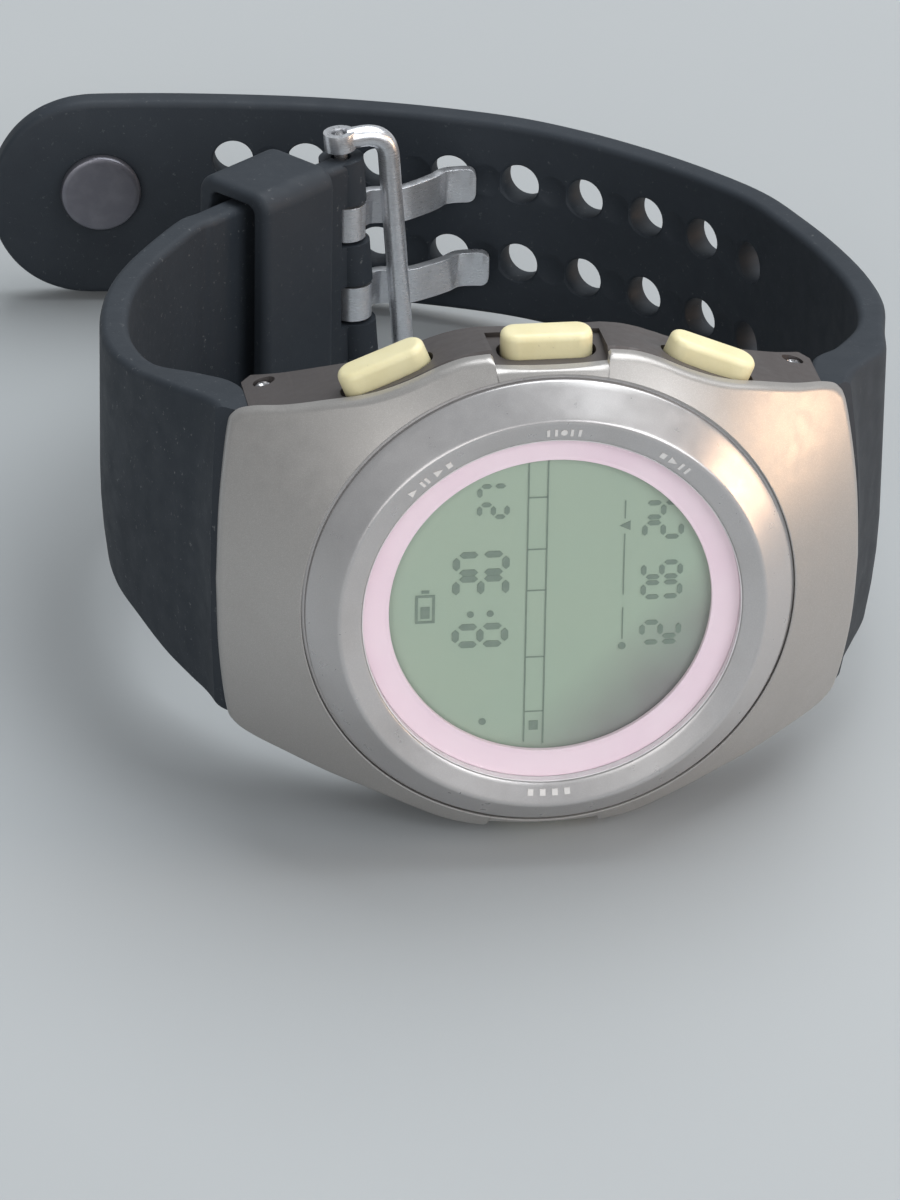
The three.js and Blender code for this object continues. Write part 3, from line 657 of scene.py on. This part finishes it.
# ---- Display figures ----
# A figure stands with its top towards 12 o'clock: its own right is +Z and its own up is -X.
# A digit's bars are drawn in a box 1 wide and 2 high.
SEGMENT_BARS = {
    "a": ((0.12, 2.0), (0.88, 2.0)), "b": ((1.0, 1.88), (1.0, 1.12)), "c": ((1.0, 0.88), (1.0, 0.12)),
    "d": ((0.12, 0.0), (0.88, 0.0)), "e": ((0.0, 0.88), (0.0, 0.12)), "f": ((0.0, 1.88), (0.0, 1.12)),
    "g": ((0.12, 1.0), (0.88, 1.0)),
}
DIGIT_SEGMENTS = {
    "0": "abcdef", "1": "bc", "2": "abged", "3": "abgcd", "4": "fgbc", "6": "afgcde", "7": "abc",
    "8": "abcdefg",
}


def bar_points(start, end, half):
    """A segment's outline: a bar with pointed ends."""
    a, b = Vector(start), Vector(end)
    along = (b - a).normalized()
    across = Vector((-along.y, along.x)) * half
    tip = along * half
    return [a, a + tip + across, b - tip + across, b, b - tip - across, a + tip - across]


def digit(char, x, z, width, height, half):
    shapes = []
    for name in DIGIT_SEGMENTS[char]:
        start, end = ((u * width, v * height / 2) for u, v in SEGMENT_BARS[name])
        shapes.append([(x - p.y, z + p.x) for p in bar_points(start, end, half)])
    return shapes


def line_of_digits(text, x, z, width, height, pitch, half):
    shapes = []
    for i, char in enumerate(text):
        if char == ":":
            for level in (0.3, 0.7):
                cx, cz = x - height * level, z + i * pitch + width * 0.35
                shapes.append([(cx + px, cz + pz) for px, pz in rounded_rect(half, half, half, 4)])
        elif char != " ":
            shapes += digit(char, x, z + i * pitch, width, height, half)
    return shapes


def strip(x0, x1, z0, z1):
    return [(x0, z0), (x1, z0), (x1, z1), (x0, z1)]


def dot_at(x, z, radius, count=16):
    return [(x + u, z + v) for u, v in circle(radius, count)]


def raised_shapes(name, shapes, surface, low, high):
    """Thin closed plates over flat outlines, each lifted onto a surface by surface(x, z, lift)."""
    verts, faces = [], []
    for shape in shapes:
        base, count = len(verts), len(shape)
        for lift in (low, high):
            verts += [surface(x, z, lift) for x, z in shape]
        faces.append(tuple(range(base, base + count)))
        faces.append(tuple(range(base + count, base + 2 * count)))
        for k in range(count):
            m = (k + 1) % count
            faces.append((base + k, base + m, base + count + m, base + count + k))
    return mesh_object(name, verts, faces)


def display_figures():
    """Dark segments of the display, a hair in front of it: all of them one piece."""
    shapes = line_of_digits("8:30", -3.4, -3.3, 1.5, 3.8, 2.05, 0.27)
    shapes += line_of_digits("27", -3.4, 7.5, 1.05, 2.1, 1.55, 0.19)
    shapes += line_of_digits("12 06 24", 10.0, -5.0, 1.2, 2.8, 1.7, 0.2)
    for x, reach in ((-1.78, 11.9), (-0.3, 12.1)):
        shapes.append(strip(x - 0.055, x + 0.055, -reach, reach))
    for z in (-9.3, -4.6, 1.1, 4.6, 9.0):
        shapes.append(strip(-1.78, -0.3, z - 0.05, z + 0.05))
    shapes.append(strip(-1.4, -0.7, -10.9, -10.1))
    for z0, z1 in ((0.4, 5.6), (6.9, 8.4), (-3.4, -0.7)):
        shapes.append(strip(5.62, 5.7, z0, z1))
    shapes.append([(5.66 + dx, 6.3 + dz) for dx, dz in ((0.42, -0.4), (0.42, 0.4), (-0.42, 0.0))])
    shapes += [dot_at(5.66, -4.0, 0.3), dot_at(-5.0, -10.0, 0.28)]
    for x0, x1, z0, z1 in ((-10.3, -10.1, -1.3, 1.1), (-9.0, -8.8, -1.3, 1.1), (-10.1, -9.0, -1.3, -1.1),
                           (-10.1, -9.0, 0.9, 1.1), (-9.9, -9.2, -0.9, 0.1), (-9.85, -9.25, 1.25, 1.5)):
        shapes.append(strip(x0, x1, z0, z1))
    plates = raised_shapes("display_figures", shapes, lambda x, z, y: (x, y, z), 2.24, 2.27)
    place(plates, "case", "segment", None)


# ---- Bezel marks ----
def bezel_marks():
    """Small plain symbols, raised on the bezel's inner chamfer beside each button."""
    middle, lip, slope = 15.35, 14.7, 0.33

    def on_chamfer(shift, out, lift):
        r = middle + out
        turn = shift / middle
        return (r * math.cos(turn), 0.5 - slope * (r - lip) - lift, r * math.sin(turn))
    dot = dot_at(0, 0, 0.26, 12)
    triangle = [(-0.3, -0.3), (0.4, 0.0), (-0.3, 0.3)]
    bar, square = strip(-0.11, 0.11, -0.32, 0.32), strip(-0.22, 0.22, -0.24, 0.24)
    groups = {
        128: [(-1.9, triangle), (-0.9, bar), (-0.45, bar), (0.6, triangle), (1.6, square)],
        88: [(-1.2, bar), (-0.6, bar), (0.0, dot), (0.6, bar), (1.2, bar)],
        54: [(-1.1, square), (-0.2, triangle), (0.6, bar), (1.2, bar)],
        -90: [(-1.4, square), (-0.45, square), (0.5, square), (1.45, square)],
    }
    shapes = []
    for degrees, marks in groups.items():
        for shift, shape in marks:
            along = math.radians(degrees) * middle - shift
            shapes.append([(along - u, v) for u, v in shape])
    plates = raised_shapes("bezel_marks", shapes, on_chamfer, -0.05, 0.05)
    place(plates, "case", "mark", None)


# ---- Buttons ----
def button(name):
    """A cap with soft edges, drawn with Z outwards, on its stem."""
    half_x, half_y, corner = CAP["length"] / 2, CAP["depth"] / 2, CAP["corner"]
    edge = 0.55
    levels = [(0.25, -CAP["under"]), (0.06, -CAP["under"] + 0.06), (0.0, -CAP["under"] + 0.25)]
    for i in range(7):
        turn = math.pi / 2 * i / 6
        levels.append((edge * (1 - math.cos(turn)), CAP["out"] - edge - 0.02 + edge * math.sin(turn)))
    levels += [(0.85, CAP["out"] - 0.005), (1.15, CAP["out"])]
    rows = [[(x, y, z) for x, y in rounded_rect(half_x - inset, half_y - inset, corner - inset, 8)]
            for inset, z in levels]
    cap = grid(f"button_cap_{name}", rows, caps=True)
    join(cap, rod("stem", (0, 0), STEM["radius"], STEM["end"], 0.2, 24))
    matrix = button_matrix(name)
    place(cap, f"button_{name}_body", "cream", f"button_{name}", 38, matrix)


# ---- Straps ----
# Rows are (outer x, outer y, inner x, inner y, half width) and lines are (x, y, half width), from
# the case outwards.
ROOT = [
    (24.95, 8.6, 22.6, 8.6, 13.2),
    (25.9, 13.3, 22.6, 13.3, 12.9),
    (27.3, 16.6, 22.75, 17.4, 12.5),
    (28.6, 19.6, 24.6, 20.2, 12.0),
]
LONG_LINE = [
    (28.2, 24.5, 11.6), (29.13, 30, 11.1), (28.95, 36, 10.6), (27.8, 43, 10.0), (26.1, 49.5, 9.5),
    (24.1, 55.2, 9.1), (20.7, 60.2, 8.9), (16.7, 64.7, 8.8), (12.1, 68.7, 8.8), (7.1, 72.1, 8.8),
    (1.5, 74.6, 8.8), (-4.3, 76.6, 8.8), (-10, 78.1, 8.8), (-16, 79.2, 8.8), (-22, 80.0, 8.8),
    (-27.2, 80.4, 8.8),
]
TAIL_END, TAIL_HALF = (-36.4, 80.8), 8.8
SHORT_LINE = [
    (-28.9, 23.8, 11.1), (-30.2, 28.8, 10.5), (-30.3, 34, 10.1), (-29.3, 40, 9.8), (-27.1, 46.0, 9.5),
]


def offset_rows(line, side):
    """Rows of a middle line, moved to both sides by half the strap's thickness."""
    rows = []
    for i, (x, y, half) in enumerate(line):
        before, after = line[max(i - 1, 0)], line[min(i + 1, len(line) - 1)]
        along = Vector((after[0] - before[0], after[1] - before[1])).normalized()
        normal = Vector((side * along.y, -side * along.x)) * THICKNESS / 2
        rows.append((x + normal.x, y + normal.y, x - normal.x, y - normal.y, half))
    return rows


def fading(y, end, run):
    """1 near the case, easing to 0 where y reaches an end."""
    share = min(max((end - y) / run, 0), 1)
    return share * share * (3 - 2 * share)


def bowed(x, y, z):
    """Draws a strap in at its root's corners, as the case's outline is, and then at its lower edge."""
    near = fading(y, 20.5, 8)
    low = fading(y, 48, 16) * (1 - near)
    shift = 0.95 * (z / 11.6) ** 2 * near + 0.9 * (min(z + 2, 0) / 9.6) ** 2 * low
    return (x - math.copysign(shift, x), y, z)


def band(name, rows, per_span, edge=0.6):
    """A band through the rows, its edges rounded, with both faces divided across."""
    outer = spline([(r[0], r[1], r[4]) for r in rows], per_span)
    inner = spline([(r[2], r[3], r[4]) for r in rows], per_span)
    columns = []
    for o, n in zip(outer, inner):
        half = max(o.z, 0.9)
        thick = math.hypot(o.x - n.x, o.y - n.y)
        share = min(edge / thick, 0.45)
        radius = min(edge, half * 0.4)
        section = []
        for cx, cz, start in ((1 - share, half - radius, 0), (share, half - radius, 1),
                              (share, radius - half, 2), (1 - share, radius - half, 3)):
            for i in range(5):
                turn = math.pi / 2 * (start + i / 4)
                section.append((cx + share * math.cos(turn), cz + radius * math.sin(turn)))
            if start in (1, 3):
                sign = -1 if start == 1 else 1
                face = 0 if start == 1 else 1
                section += [(face, sign * (half - radius) * (-0.75 + 0.25 * k)) for k in range(7)]
        columns.append([bowed(n.x + (o.x - n.x) * a, n.y + (o.y - n.y) * a, z) for a, z in section])
    return grid(name, columns, caps=True)


def add_tongue(strap, side):
    """Adds the root tongue that turns on the strap's pin, and trims the root under the fascia."""
    x, y = side * PIN["x"], PIN["y"]
    knuckle = rod("knuckle", (x, y), 2.0, -TONGUE_HALF, TONGUE_HALF)
    ends = sorted((x, side * (BODY["end"] + 1.2)))
    web = block("web", (ends[0], y - 1.6, -TONGUE_HALF), (ends[1], y + 1.4, TONGUE_HALF))
    join(strap, knuckle, web)
    radii = (32, 29, 27, 25, 23.5, 22, 20.5, 19.05)
    gap = 0.4 if side > 0 else 0.65
    lid = [(r, fascia_front(r) + FASCIA["thickness"] + gap) for r in radii]
    before = turned("before", [(0, -5), (32, -5), *lid, (0, lid[-1][1])], 160)
    cut(strap, rod("bore", (x, y), PIN["radius"] + 0.2, -20, 20), before)


def walk(points):
    """Distances along a line of points."""
    total = [0.0]
    for a, b in zip(points, points[1:]):
        total.append(total[-1] + (b - a).length)
    return total


def spot_on(points, distances, distance):
    """The place and heading at a distance along a line of points."""
    i = next(k for k, d in enumerate(distances) if d >= distance) or 1
    share = (distance - distances[i - 1]) / (distances[i] - distances[i - 1])
    along = (points[i] - points[i - 1]).normalized()
    return points[i - 1].lerp(points[i], share), along


LONG_MIDDLE = spline([(x, y) for x, y, _ in LONG_LINE] + [TAIL_END], 40)
LONG_WALK = walk(LONG_MIDDLE)


def distance_to(x, y):
    gaps = [(point - Vector((x, y))).length for point in LONG_MIDDLE]
    return LONG_WALK[gaps.index(min(gaps))]


def across_strap(distance, z):
    """A matrix whose Y axis runs square through the long strap, from its inner to its outer face."""
    spot, along = spot_on(LONG_MIDDLE, LONG_WALK, distance)
    normal = Vector((along.y, -along.x, 0))
    basis = Matrix((Vector((normal.y, -normal.x, 0)), normal, Vector((0, 0, 1)))).transposed()
    return Matrix.Translation((spot.x, spot.y, z)) @ basis.to_4x4()


def hole_tool(distance, z, radius):
    """A hole with a small flare at both faces."""
    half, flare = THICKNESS / 2, 0.16
    profile = [(0, -3), (radius + 2.2, -3), (radius + flare, -half + 0.02), (radius + 0.04, -half + 0.14),
               (radius, -half + 0.3), (radius, half - 0.3), (radius + 0.04, half - 0.14),
               (radius + flare, half - 0.02), (radius + 2.2, 3), (0, 3)]
    tool = turned("hole", profile, 40)
    tool.data.transform(across_strap(distance, z))
    return tool


def dimple_tool(distance, z):
    """A shallow dish in the strap's inner face."""
    sphere, depth = 3.2, 0.32
    centre = -THICKNESS / 2 - sphere + depth
    turns = [-math.pi / 2 + math.pi * i / 40 for i in range(41)]
    profile = [(sphere * math.cos(t), centre + sphere * math.sin(t)) for t in turns]
    profile[0], profile[-1] = (0, profile[0][1]), (0, profile[-1][1])
    tool = turned("dimple", profile, 40)
    tool.data.transform(across_strap(distance, z))
    return tool


def long_strap():
    tail = []
    for share in (0.2, 0.35, 0.5, 0.62, 0.72, 0.8, 0.87, 0.92, 0.955, 0.98):
        half = TAIL_HALF * math.sqrt(1 - share ** 2.3)
        tail.append((STUD["x"] + (TAIL_END[0] - STUD["x"]) * share,
                     STUD["y"] + (TAIL_END[1] - STUD["y"]) * share, half))
    rows = ROOT + offset_rows([*LONG_LINE, *tail], 1)
    strap = band("strap_long", rows, 7)
    add_tongue(strap, 1)
    first = distance_to(HOLES["x"], HOLES["y"])
    tools = []
    for i in range(HOLES["columns"]):
        for z in (-HOLES["row"], HOLES["row"]):
            tools.append(hole_tool(first + i * HOLES["pitch"], z, HOLES["radius"]))
            if i:
                tools.append(dimple_tool(first + (i - 0.5) * HOLES["pitch"], z))
    tools.append(hole_tool(distance_to(STUD["x"], STUD["y"]), STUD["z"], 1.5))
    cut(strap, *tools)
    place(strap, "long_strap_body", "strap", "long_strap", smooth=28)


def along_end(distance):
    """A matrix with X through the strap's thickness, Y up the watch and Z along the strap's end."""
    along = Vector((math.cos(END_HEADING), math.sin(END_HEADING), 0))
    outward = Vector((-along.y, along.x, 0))
    basis = Matrix((outward, Vector((0, 0, 1)), along)).transposed()
    return Matrix.Translation(Vector((*BAR, 0)) + along * distance) @ basis.to_4x4()


PIVOT = Matrix.Translation((BAR[0], 0, 0))
LEANING = PIVOT @ Matrix.Rotation(LEAN, 4, "Y") @ PIVOT.inverted()


def bar_rod(name, radius, z0, z1, count=48):
    """A rod on the spring bar's leaning axis."""
    obj = rod(name, BAR, radius, z0, z1, count)
    obj.data.transform(LEANING)
    return obj


def short_strap():
    along = Vector((math.cos(END_HEADING), math.sin(END_HEADING)))
    straight = []
    for s in (-19.5, -17, -12, -6, -0.6):
        spot = Vector(BAR) + along * s
        straight.append((spot.x, spot.y, END_HALF + min(0.3, -s / 30)))
    root = [(-ox, oy, -ix, iy, half) for ox, oy, ix, iy, half in ROOT]
    strap = band("strap_short", root + offset_rows([*SHORT_LINE, *straight], -1), 8)
    add_tongue(strap, -1)
    join(strap, bar_rod("barrel", END_BARREL, -END_HALF, END_HALF, 64))
    cut(strap, bar_rod("bore", BAR_BORE, -20, 20))
    half = PRONG["width"] / 2 + 0.3
    for z in (-PRONG["row"], PRONG["row"]):
        slot = block("slot", (-4, -half, -2.1), (4, half, 3.9))
        slot.data.transform(Matrix.Translation((0, 0, z)) @ along_end(0))
        cut(strap, slot)
    soften(strap, 0.14, angle=50, segments=2)
    place(strap, "short_strap_body", "strap_short", "short_strap", smooth=30)


def keeper():
    """A moulded loop: a rounded wall section swept round the slot."""
    count = 12
    outer = rounded_rect(KEEPER["slot"] / 2 + KEEPER["wall"], KEEPER["half"], 1.6, count)
    inner = rounded_rect(KEEPER["slot"] / 2, KEEPER["slot_half"], 0.8, count)
    length, big, small = KEEPER["length"], 0.75, 0.3
    section = []
    for cu, cs, ru, rs, start in ((1, length, big, big, 0), (0, length, small, small, 1),
                                  (0, 0, small, small, 2), (1, 0, big, big, 3)):
        for i in range(6):
            turn = math.pi / 2 * (start + i / 5)
            u = cu + (math.cos(turn) - 1) * ru / 1.5 if cu else cu + (math.cos(turn) + 1) * ru / 1.5
            s = cs + (math.sin(turn) - 1) * rs if cs else cs + (math.sin(turn) + 1) * rs
            section.append((u, s))
    rows = [[(i[0] + (o[0] - i[0]) * u, i[1] + (o[1] - i[1]) * u, s) for o, i in zip(outer, inner)]
            for u, s in section]
    loop = grid("strap_keeper", rows, closed=True)
    matrix = along_end(KEEPER["start"])
    place(loop, "keeper_body", "strap", "keeper", 36, matrix)


# ---- Buckle ----
def tube(name, path, radius, count=24):
    """A round rod through a list of points, with its section kept square to the path."""
    rows = []
    flat = Vector((BAR[1] - ROD["y"], ROD["x"] - BAR[0], 0)).normalized()
    for i, point in enumerate(path):
        along = (path[min(i + 1, len(path) - 1)] - path[max(i - 1, 0)]).normalized()
        side = along.cross(flat).normalized()
        rows.append([point + flat * u + side * v for u, v in circle(radius, count)])
    return grid(name, rows, caps=True)


def buckle_frame():
    x, y, half, corner = ROD["x"], ROD["y"], ROD["half"], ROD["corner"]
    back = Vector((BAR[0] - x, BAR[1] - y, 0))
    reach = back.length
    back.normalize()
    def at(distance, z):
        return Vector((x, y, z)) + back * distance
    path = [at(reach - 0.6, half)]
    for sign in (1, -1):
        knee, centre = at(0, sign * half), []
        for i in range(13):
            t = i / 12 if sign > 0 else 1 - i / 12
            a, b = at(corner, sign * half), at(0, sign * (half - corner))
            centre.append(a * (1 - t) ** 2 + knee * 2 * t * (1 - t) + b * t * t)
        path += centre
        if sign > 0:
            path += [at(0, half - corner - (2 * half - 2 * corner) * i / 10) for i in range(1, 10)]
    path.append(at(reach - 0.6, -half))
    bow = tube("buckle_bow", path, ROD["radius"])
    bow.data.transform(LEANING)
    join(bow, *(bar_rod("eye", ROD["eye"], z - 0.75, z + 0.75) for z in (half, -half)))
    cut(bow, bar_rod("bore", BAR_RADIUS + 0.15, -20, 20))
    soften(bow, 0.16, angle=45, segments=2)
    place(bow, "buckle_body", "steel", "buckle_frame", smooth=34)


def prong(name, angle, z):
    """A wavy flat prong, rounded at its tip, with a rolled eye."""
    wave = [(0.6, 0.3), (1.7, 0.75), (3.1, 1.15), (5.2, 0.15), (7.4, 0.3), (9.1, 0.65), (10.4, 1.1),
            (11.7, 0.75), (12.9, 0.05)]
    curve = spline(wave, 8)
    half, radius = PRONG["thick"] / 2, 0.75
    distances = walk(curve)
    rows = []
    for i, point in enumerate(curve):
        along = (curve[min(i + 1, len(curve) - 1)] - curve[max(i - 1, 0)]).normalized()
        normal = Vector((-along.y, along.x)) * half
        left = distances[-1] - distances[i]
        width = PRONG["width"] / 2
        if left < radius:
            width -= radius - math.sqrt(max(radius ** 2 - (radius - left) ** 2, 0))
        a, b = point + normal, point - normal
        rows.append([(p.x, p.y, z + w) for p, w in ((a, width), (a, -width), (b, -width), (b, width))])
    leaf = grid(f"buckle_{name}", rows, caps=True)
    width = PRONG["width"] / 2
    join(leaf, rod("eye", (0, 0), PRONG["eye"], z - width, z + width))
    cut(leaf, rod("bore", (0, 0), BAR_BORE, z - 5, z + 5))
    soften(leaf, 0.17, angle=45)
    eye_x = BAR[0] + z * math.sin(LEAN)
    matrix = Matrix.Translation((eye_x, BAR[1], 0)) @ Matrix.Rotation(math.radians(angle), 4, "Z")
    place(leaf, f"{name}_body", "steel", name, 34, matrix)


def spring_bar():
    """A spring bar: a tube with a shoulder and a fine tip at each end."""
    half, radius = BAR_HALF, BAR_RADIUS
    end = [(0.0, half), (0.3, half - 0.04), (0.38, half - 0.15), (0.38, 10.2), (radius, 10.05), (radius, 9)]
    bar = spindle("spring_bar_rod", BAR, both_ends(end))
    place(bar, "short_strap_body", "pin", "spring_bar", matrix=LEANING)


def tip_stud():
    face, thick, disc = -THICKNESS / 2 - 0.2, STUD["thick"], STUD["disc"]
    front = face - thick
    profile = [(0, front), (1.5, front), (disc - 0.5, front), (disc - 0.3, front + 0.02),
               (disc - 0.12, front + 0.09), (disc - 0.03, front + 0.22), (disc, front + 0.4),
               (disc - 0.05, face), (1.2, face), (1.2, 1.8), (1.0, 2.0), (0, 2.0)]
    stud = turned("tip_stud_disc", profile, 96)
    matrix = across_strap(distance_to(STUD["x"], STUD["y"]), STUD["z"])
    place(stud, "long_strap_body", "stud", "tip_stud", 30, matrix)
    ring = [(1.4, 1.35), (2.62, 1.35), (2.7, 1.43), (2.7, 1.72), (2.58, 1.85), (1.5, 1.85), (1.4, 1.75)]
    washer = turned("tip_washer", ring, 64)
    place(washer, "long_strap_body", "stud", "tip_stud_washer", 30, matrix)


# ---- Hidden nodes keep their CAD shape and take a finish ----
def finish_cad_nodes():
    screws = [f"case_back_screw_{i}" for i in (1, 2, 3, 4)]
    finishes = {
        "el_backlight": "film", "zebra_connector_12": "seal", "zebra_connector_6": "seal",
        "module_frame": "white", "circuit_board": "board", "driver_chip": "seal", "quartz_can": "pin",
        "coin_cell": "pin", "battery_clip": "pin", "piezo_buzzer": "brass", "case_back": "back",
        "case_back_gasket": "seal", **dict.fromkeys(screws, "pin"),
    }
    for name in BUTTONS:
        for part, look in (("spring", "pin"), ("seal", "seal"), ("clip", "pin")):
            finishes[f"button_{part}_{name}"] = look
    for node, look in finishes.items():
        obj = frame["nodes"][node]
        if not obj.material_slots:
            obj.data.materials.append(LOOKS[look])
        for slot in obj.material_slots:
            slot.material = LOOKS[look]
        obj.data.shade_smooth()
        obj.data.set_sharp_from_angle(angle=math.radians(32))
    for node in ("case_back", *screws):
        bevel = frame["nodes"][node].modifiers.new("soften", "BEVEL")
        bevel.width = 0.12 * MM
        bevel.segments = 2
        bevel.limit_method = "ANGLE"
        bevel.angle_limit = math.radians(40)


# ---- Camera, lights and floor ----
CAMERA_PLACE = (-85.2, -566.8, 295.9)  # in the watch's frame, in mm
CAMERA_TURNS = (("Z", -7.76), ("X", -27.21), ("Y", -0.96))  # yaw, pitch and roll, in degrees
LENS = 254.9


def camera():
    data = bpy.data.cameras.new("camera")
    data.lens = LENS
    data.sensor_width = 36
    data.clip_start, data.clip_end = 0.02, 20
    obj = add("camera", data)
    turn = BASIS.copy()
    for axis, degrees in CAMERA_TURNS:
        turn = turn @ Matrix.Rotation(math.radians(degrees), 3, axis)
    right, forward, up = turn.transposed()
    pose = Matrix((right, up, -forward)).transposed().to_4x4()
    obj.matrix_world = Matrix.Translation(WATCH @ Vector(CAMERA_PLACE)) @ pose
    bpy.context.scene.camera = obj


def area_light(name, spot, size, power, color):
    """A soft rectangular light, turned towards the middle of the watch."""
    data = bpy.data.lights.new(name, "AREA")
    data.shape = "RECTANGLE"
    data.size, data.size_y = size
    data.energy = power
    data.color = color
    obj = add(name, data)
    obj.location = spot
    obj.rotation_euler = (Vector((0, 0, 0.02)) - Vector(spot)).to_track_quat("-Z", "Y").to_euler()


def studio():
    low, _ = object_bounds()
    floor = bpy.data.meshes.new("floor")
    reach = 1.6
    corners = [(-reach, -reach), (reach, -reach), (reach, reach), (-reach, reach)]
    floor.from_pydata([(x, y, low.z - 0.00002) for x, y in corners], [], [(0, 1, 2, 3)])
    surface = add("floor", floor)
    look = Look("floor_look", srgb(164, 168, 170), 0.7)
    look.tint(look.ramp(look.noise(0.01, 3), 0.4, 0.7, 0, 0.5), srgb(158, 162, 165))
    floor.materials.append(look.material)
    surface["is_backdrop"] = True
    world = bpy.data.worlds.new("studio")
    world.use_nodes = True
    background = world.node_tree.nodes["Background"]
    background.inputs["Color"].default_value = (0.80, 0.84, 0.88, 1)
    background.inputs["Strength"].default_value = 0.32
    bpy.context.scene.world = world
    bpy.context.scene.view_settings.view_transform = "Standard"
    area_light("ceiling", (0.25, 0.30, 0.80), (0.9, 0.7), 8.5, (0.95, 0.98, 1.0))
    area_light("front", (-0.40, -0.70, 0.42), (0.7, 0.5), 2.6, (1.0, 0.98, 0.96))
    area_light("window", (0.50, -0.62, 0.52), (0.6, 0.5), 4.2, (0.97, 0.98, 1.0))
    area_light("warm", (0.55, -0.10, 0.12), (0.16, 0.22), 0.9, (1.0, 0.66, 0.42))


# ---- Everything ----
camera()
case_body()
fascia()
bezel()
bezel_marks()
crystal()
crystal_gasket()
display_ring()
display()
display_figures()
for sign in (1, -1):
    strap_pin(sign)
for button_name in BUTTONS:
    button(button_name)
long_strap()
short_strap()
keeper()
spring_bar()
buckle_frame()
prong("prong_upper", PRONG["upper"], PRONG["row"])
prong("prong_lower", PRONG["lower"], -PRONG["row"])
tip_stud()
finish_cad_nodes()
studio()
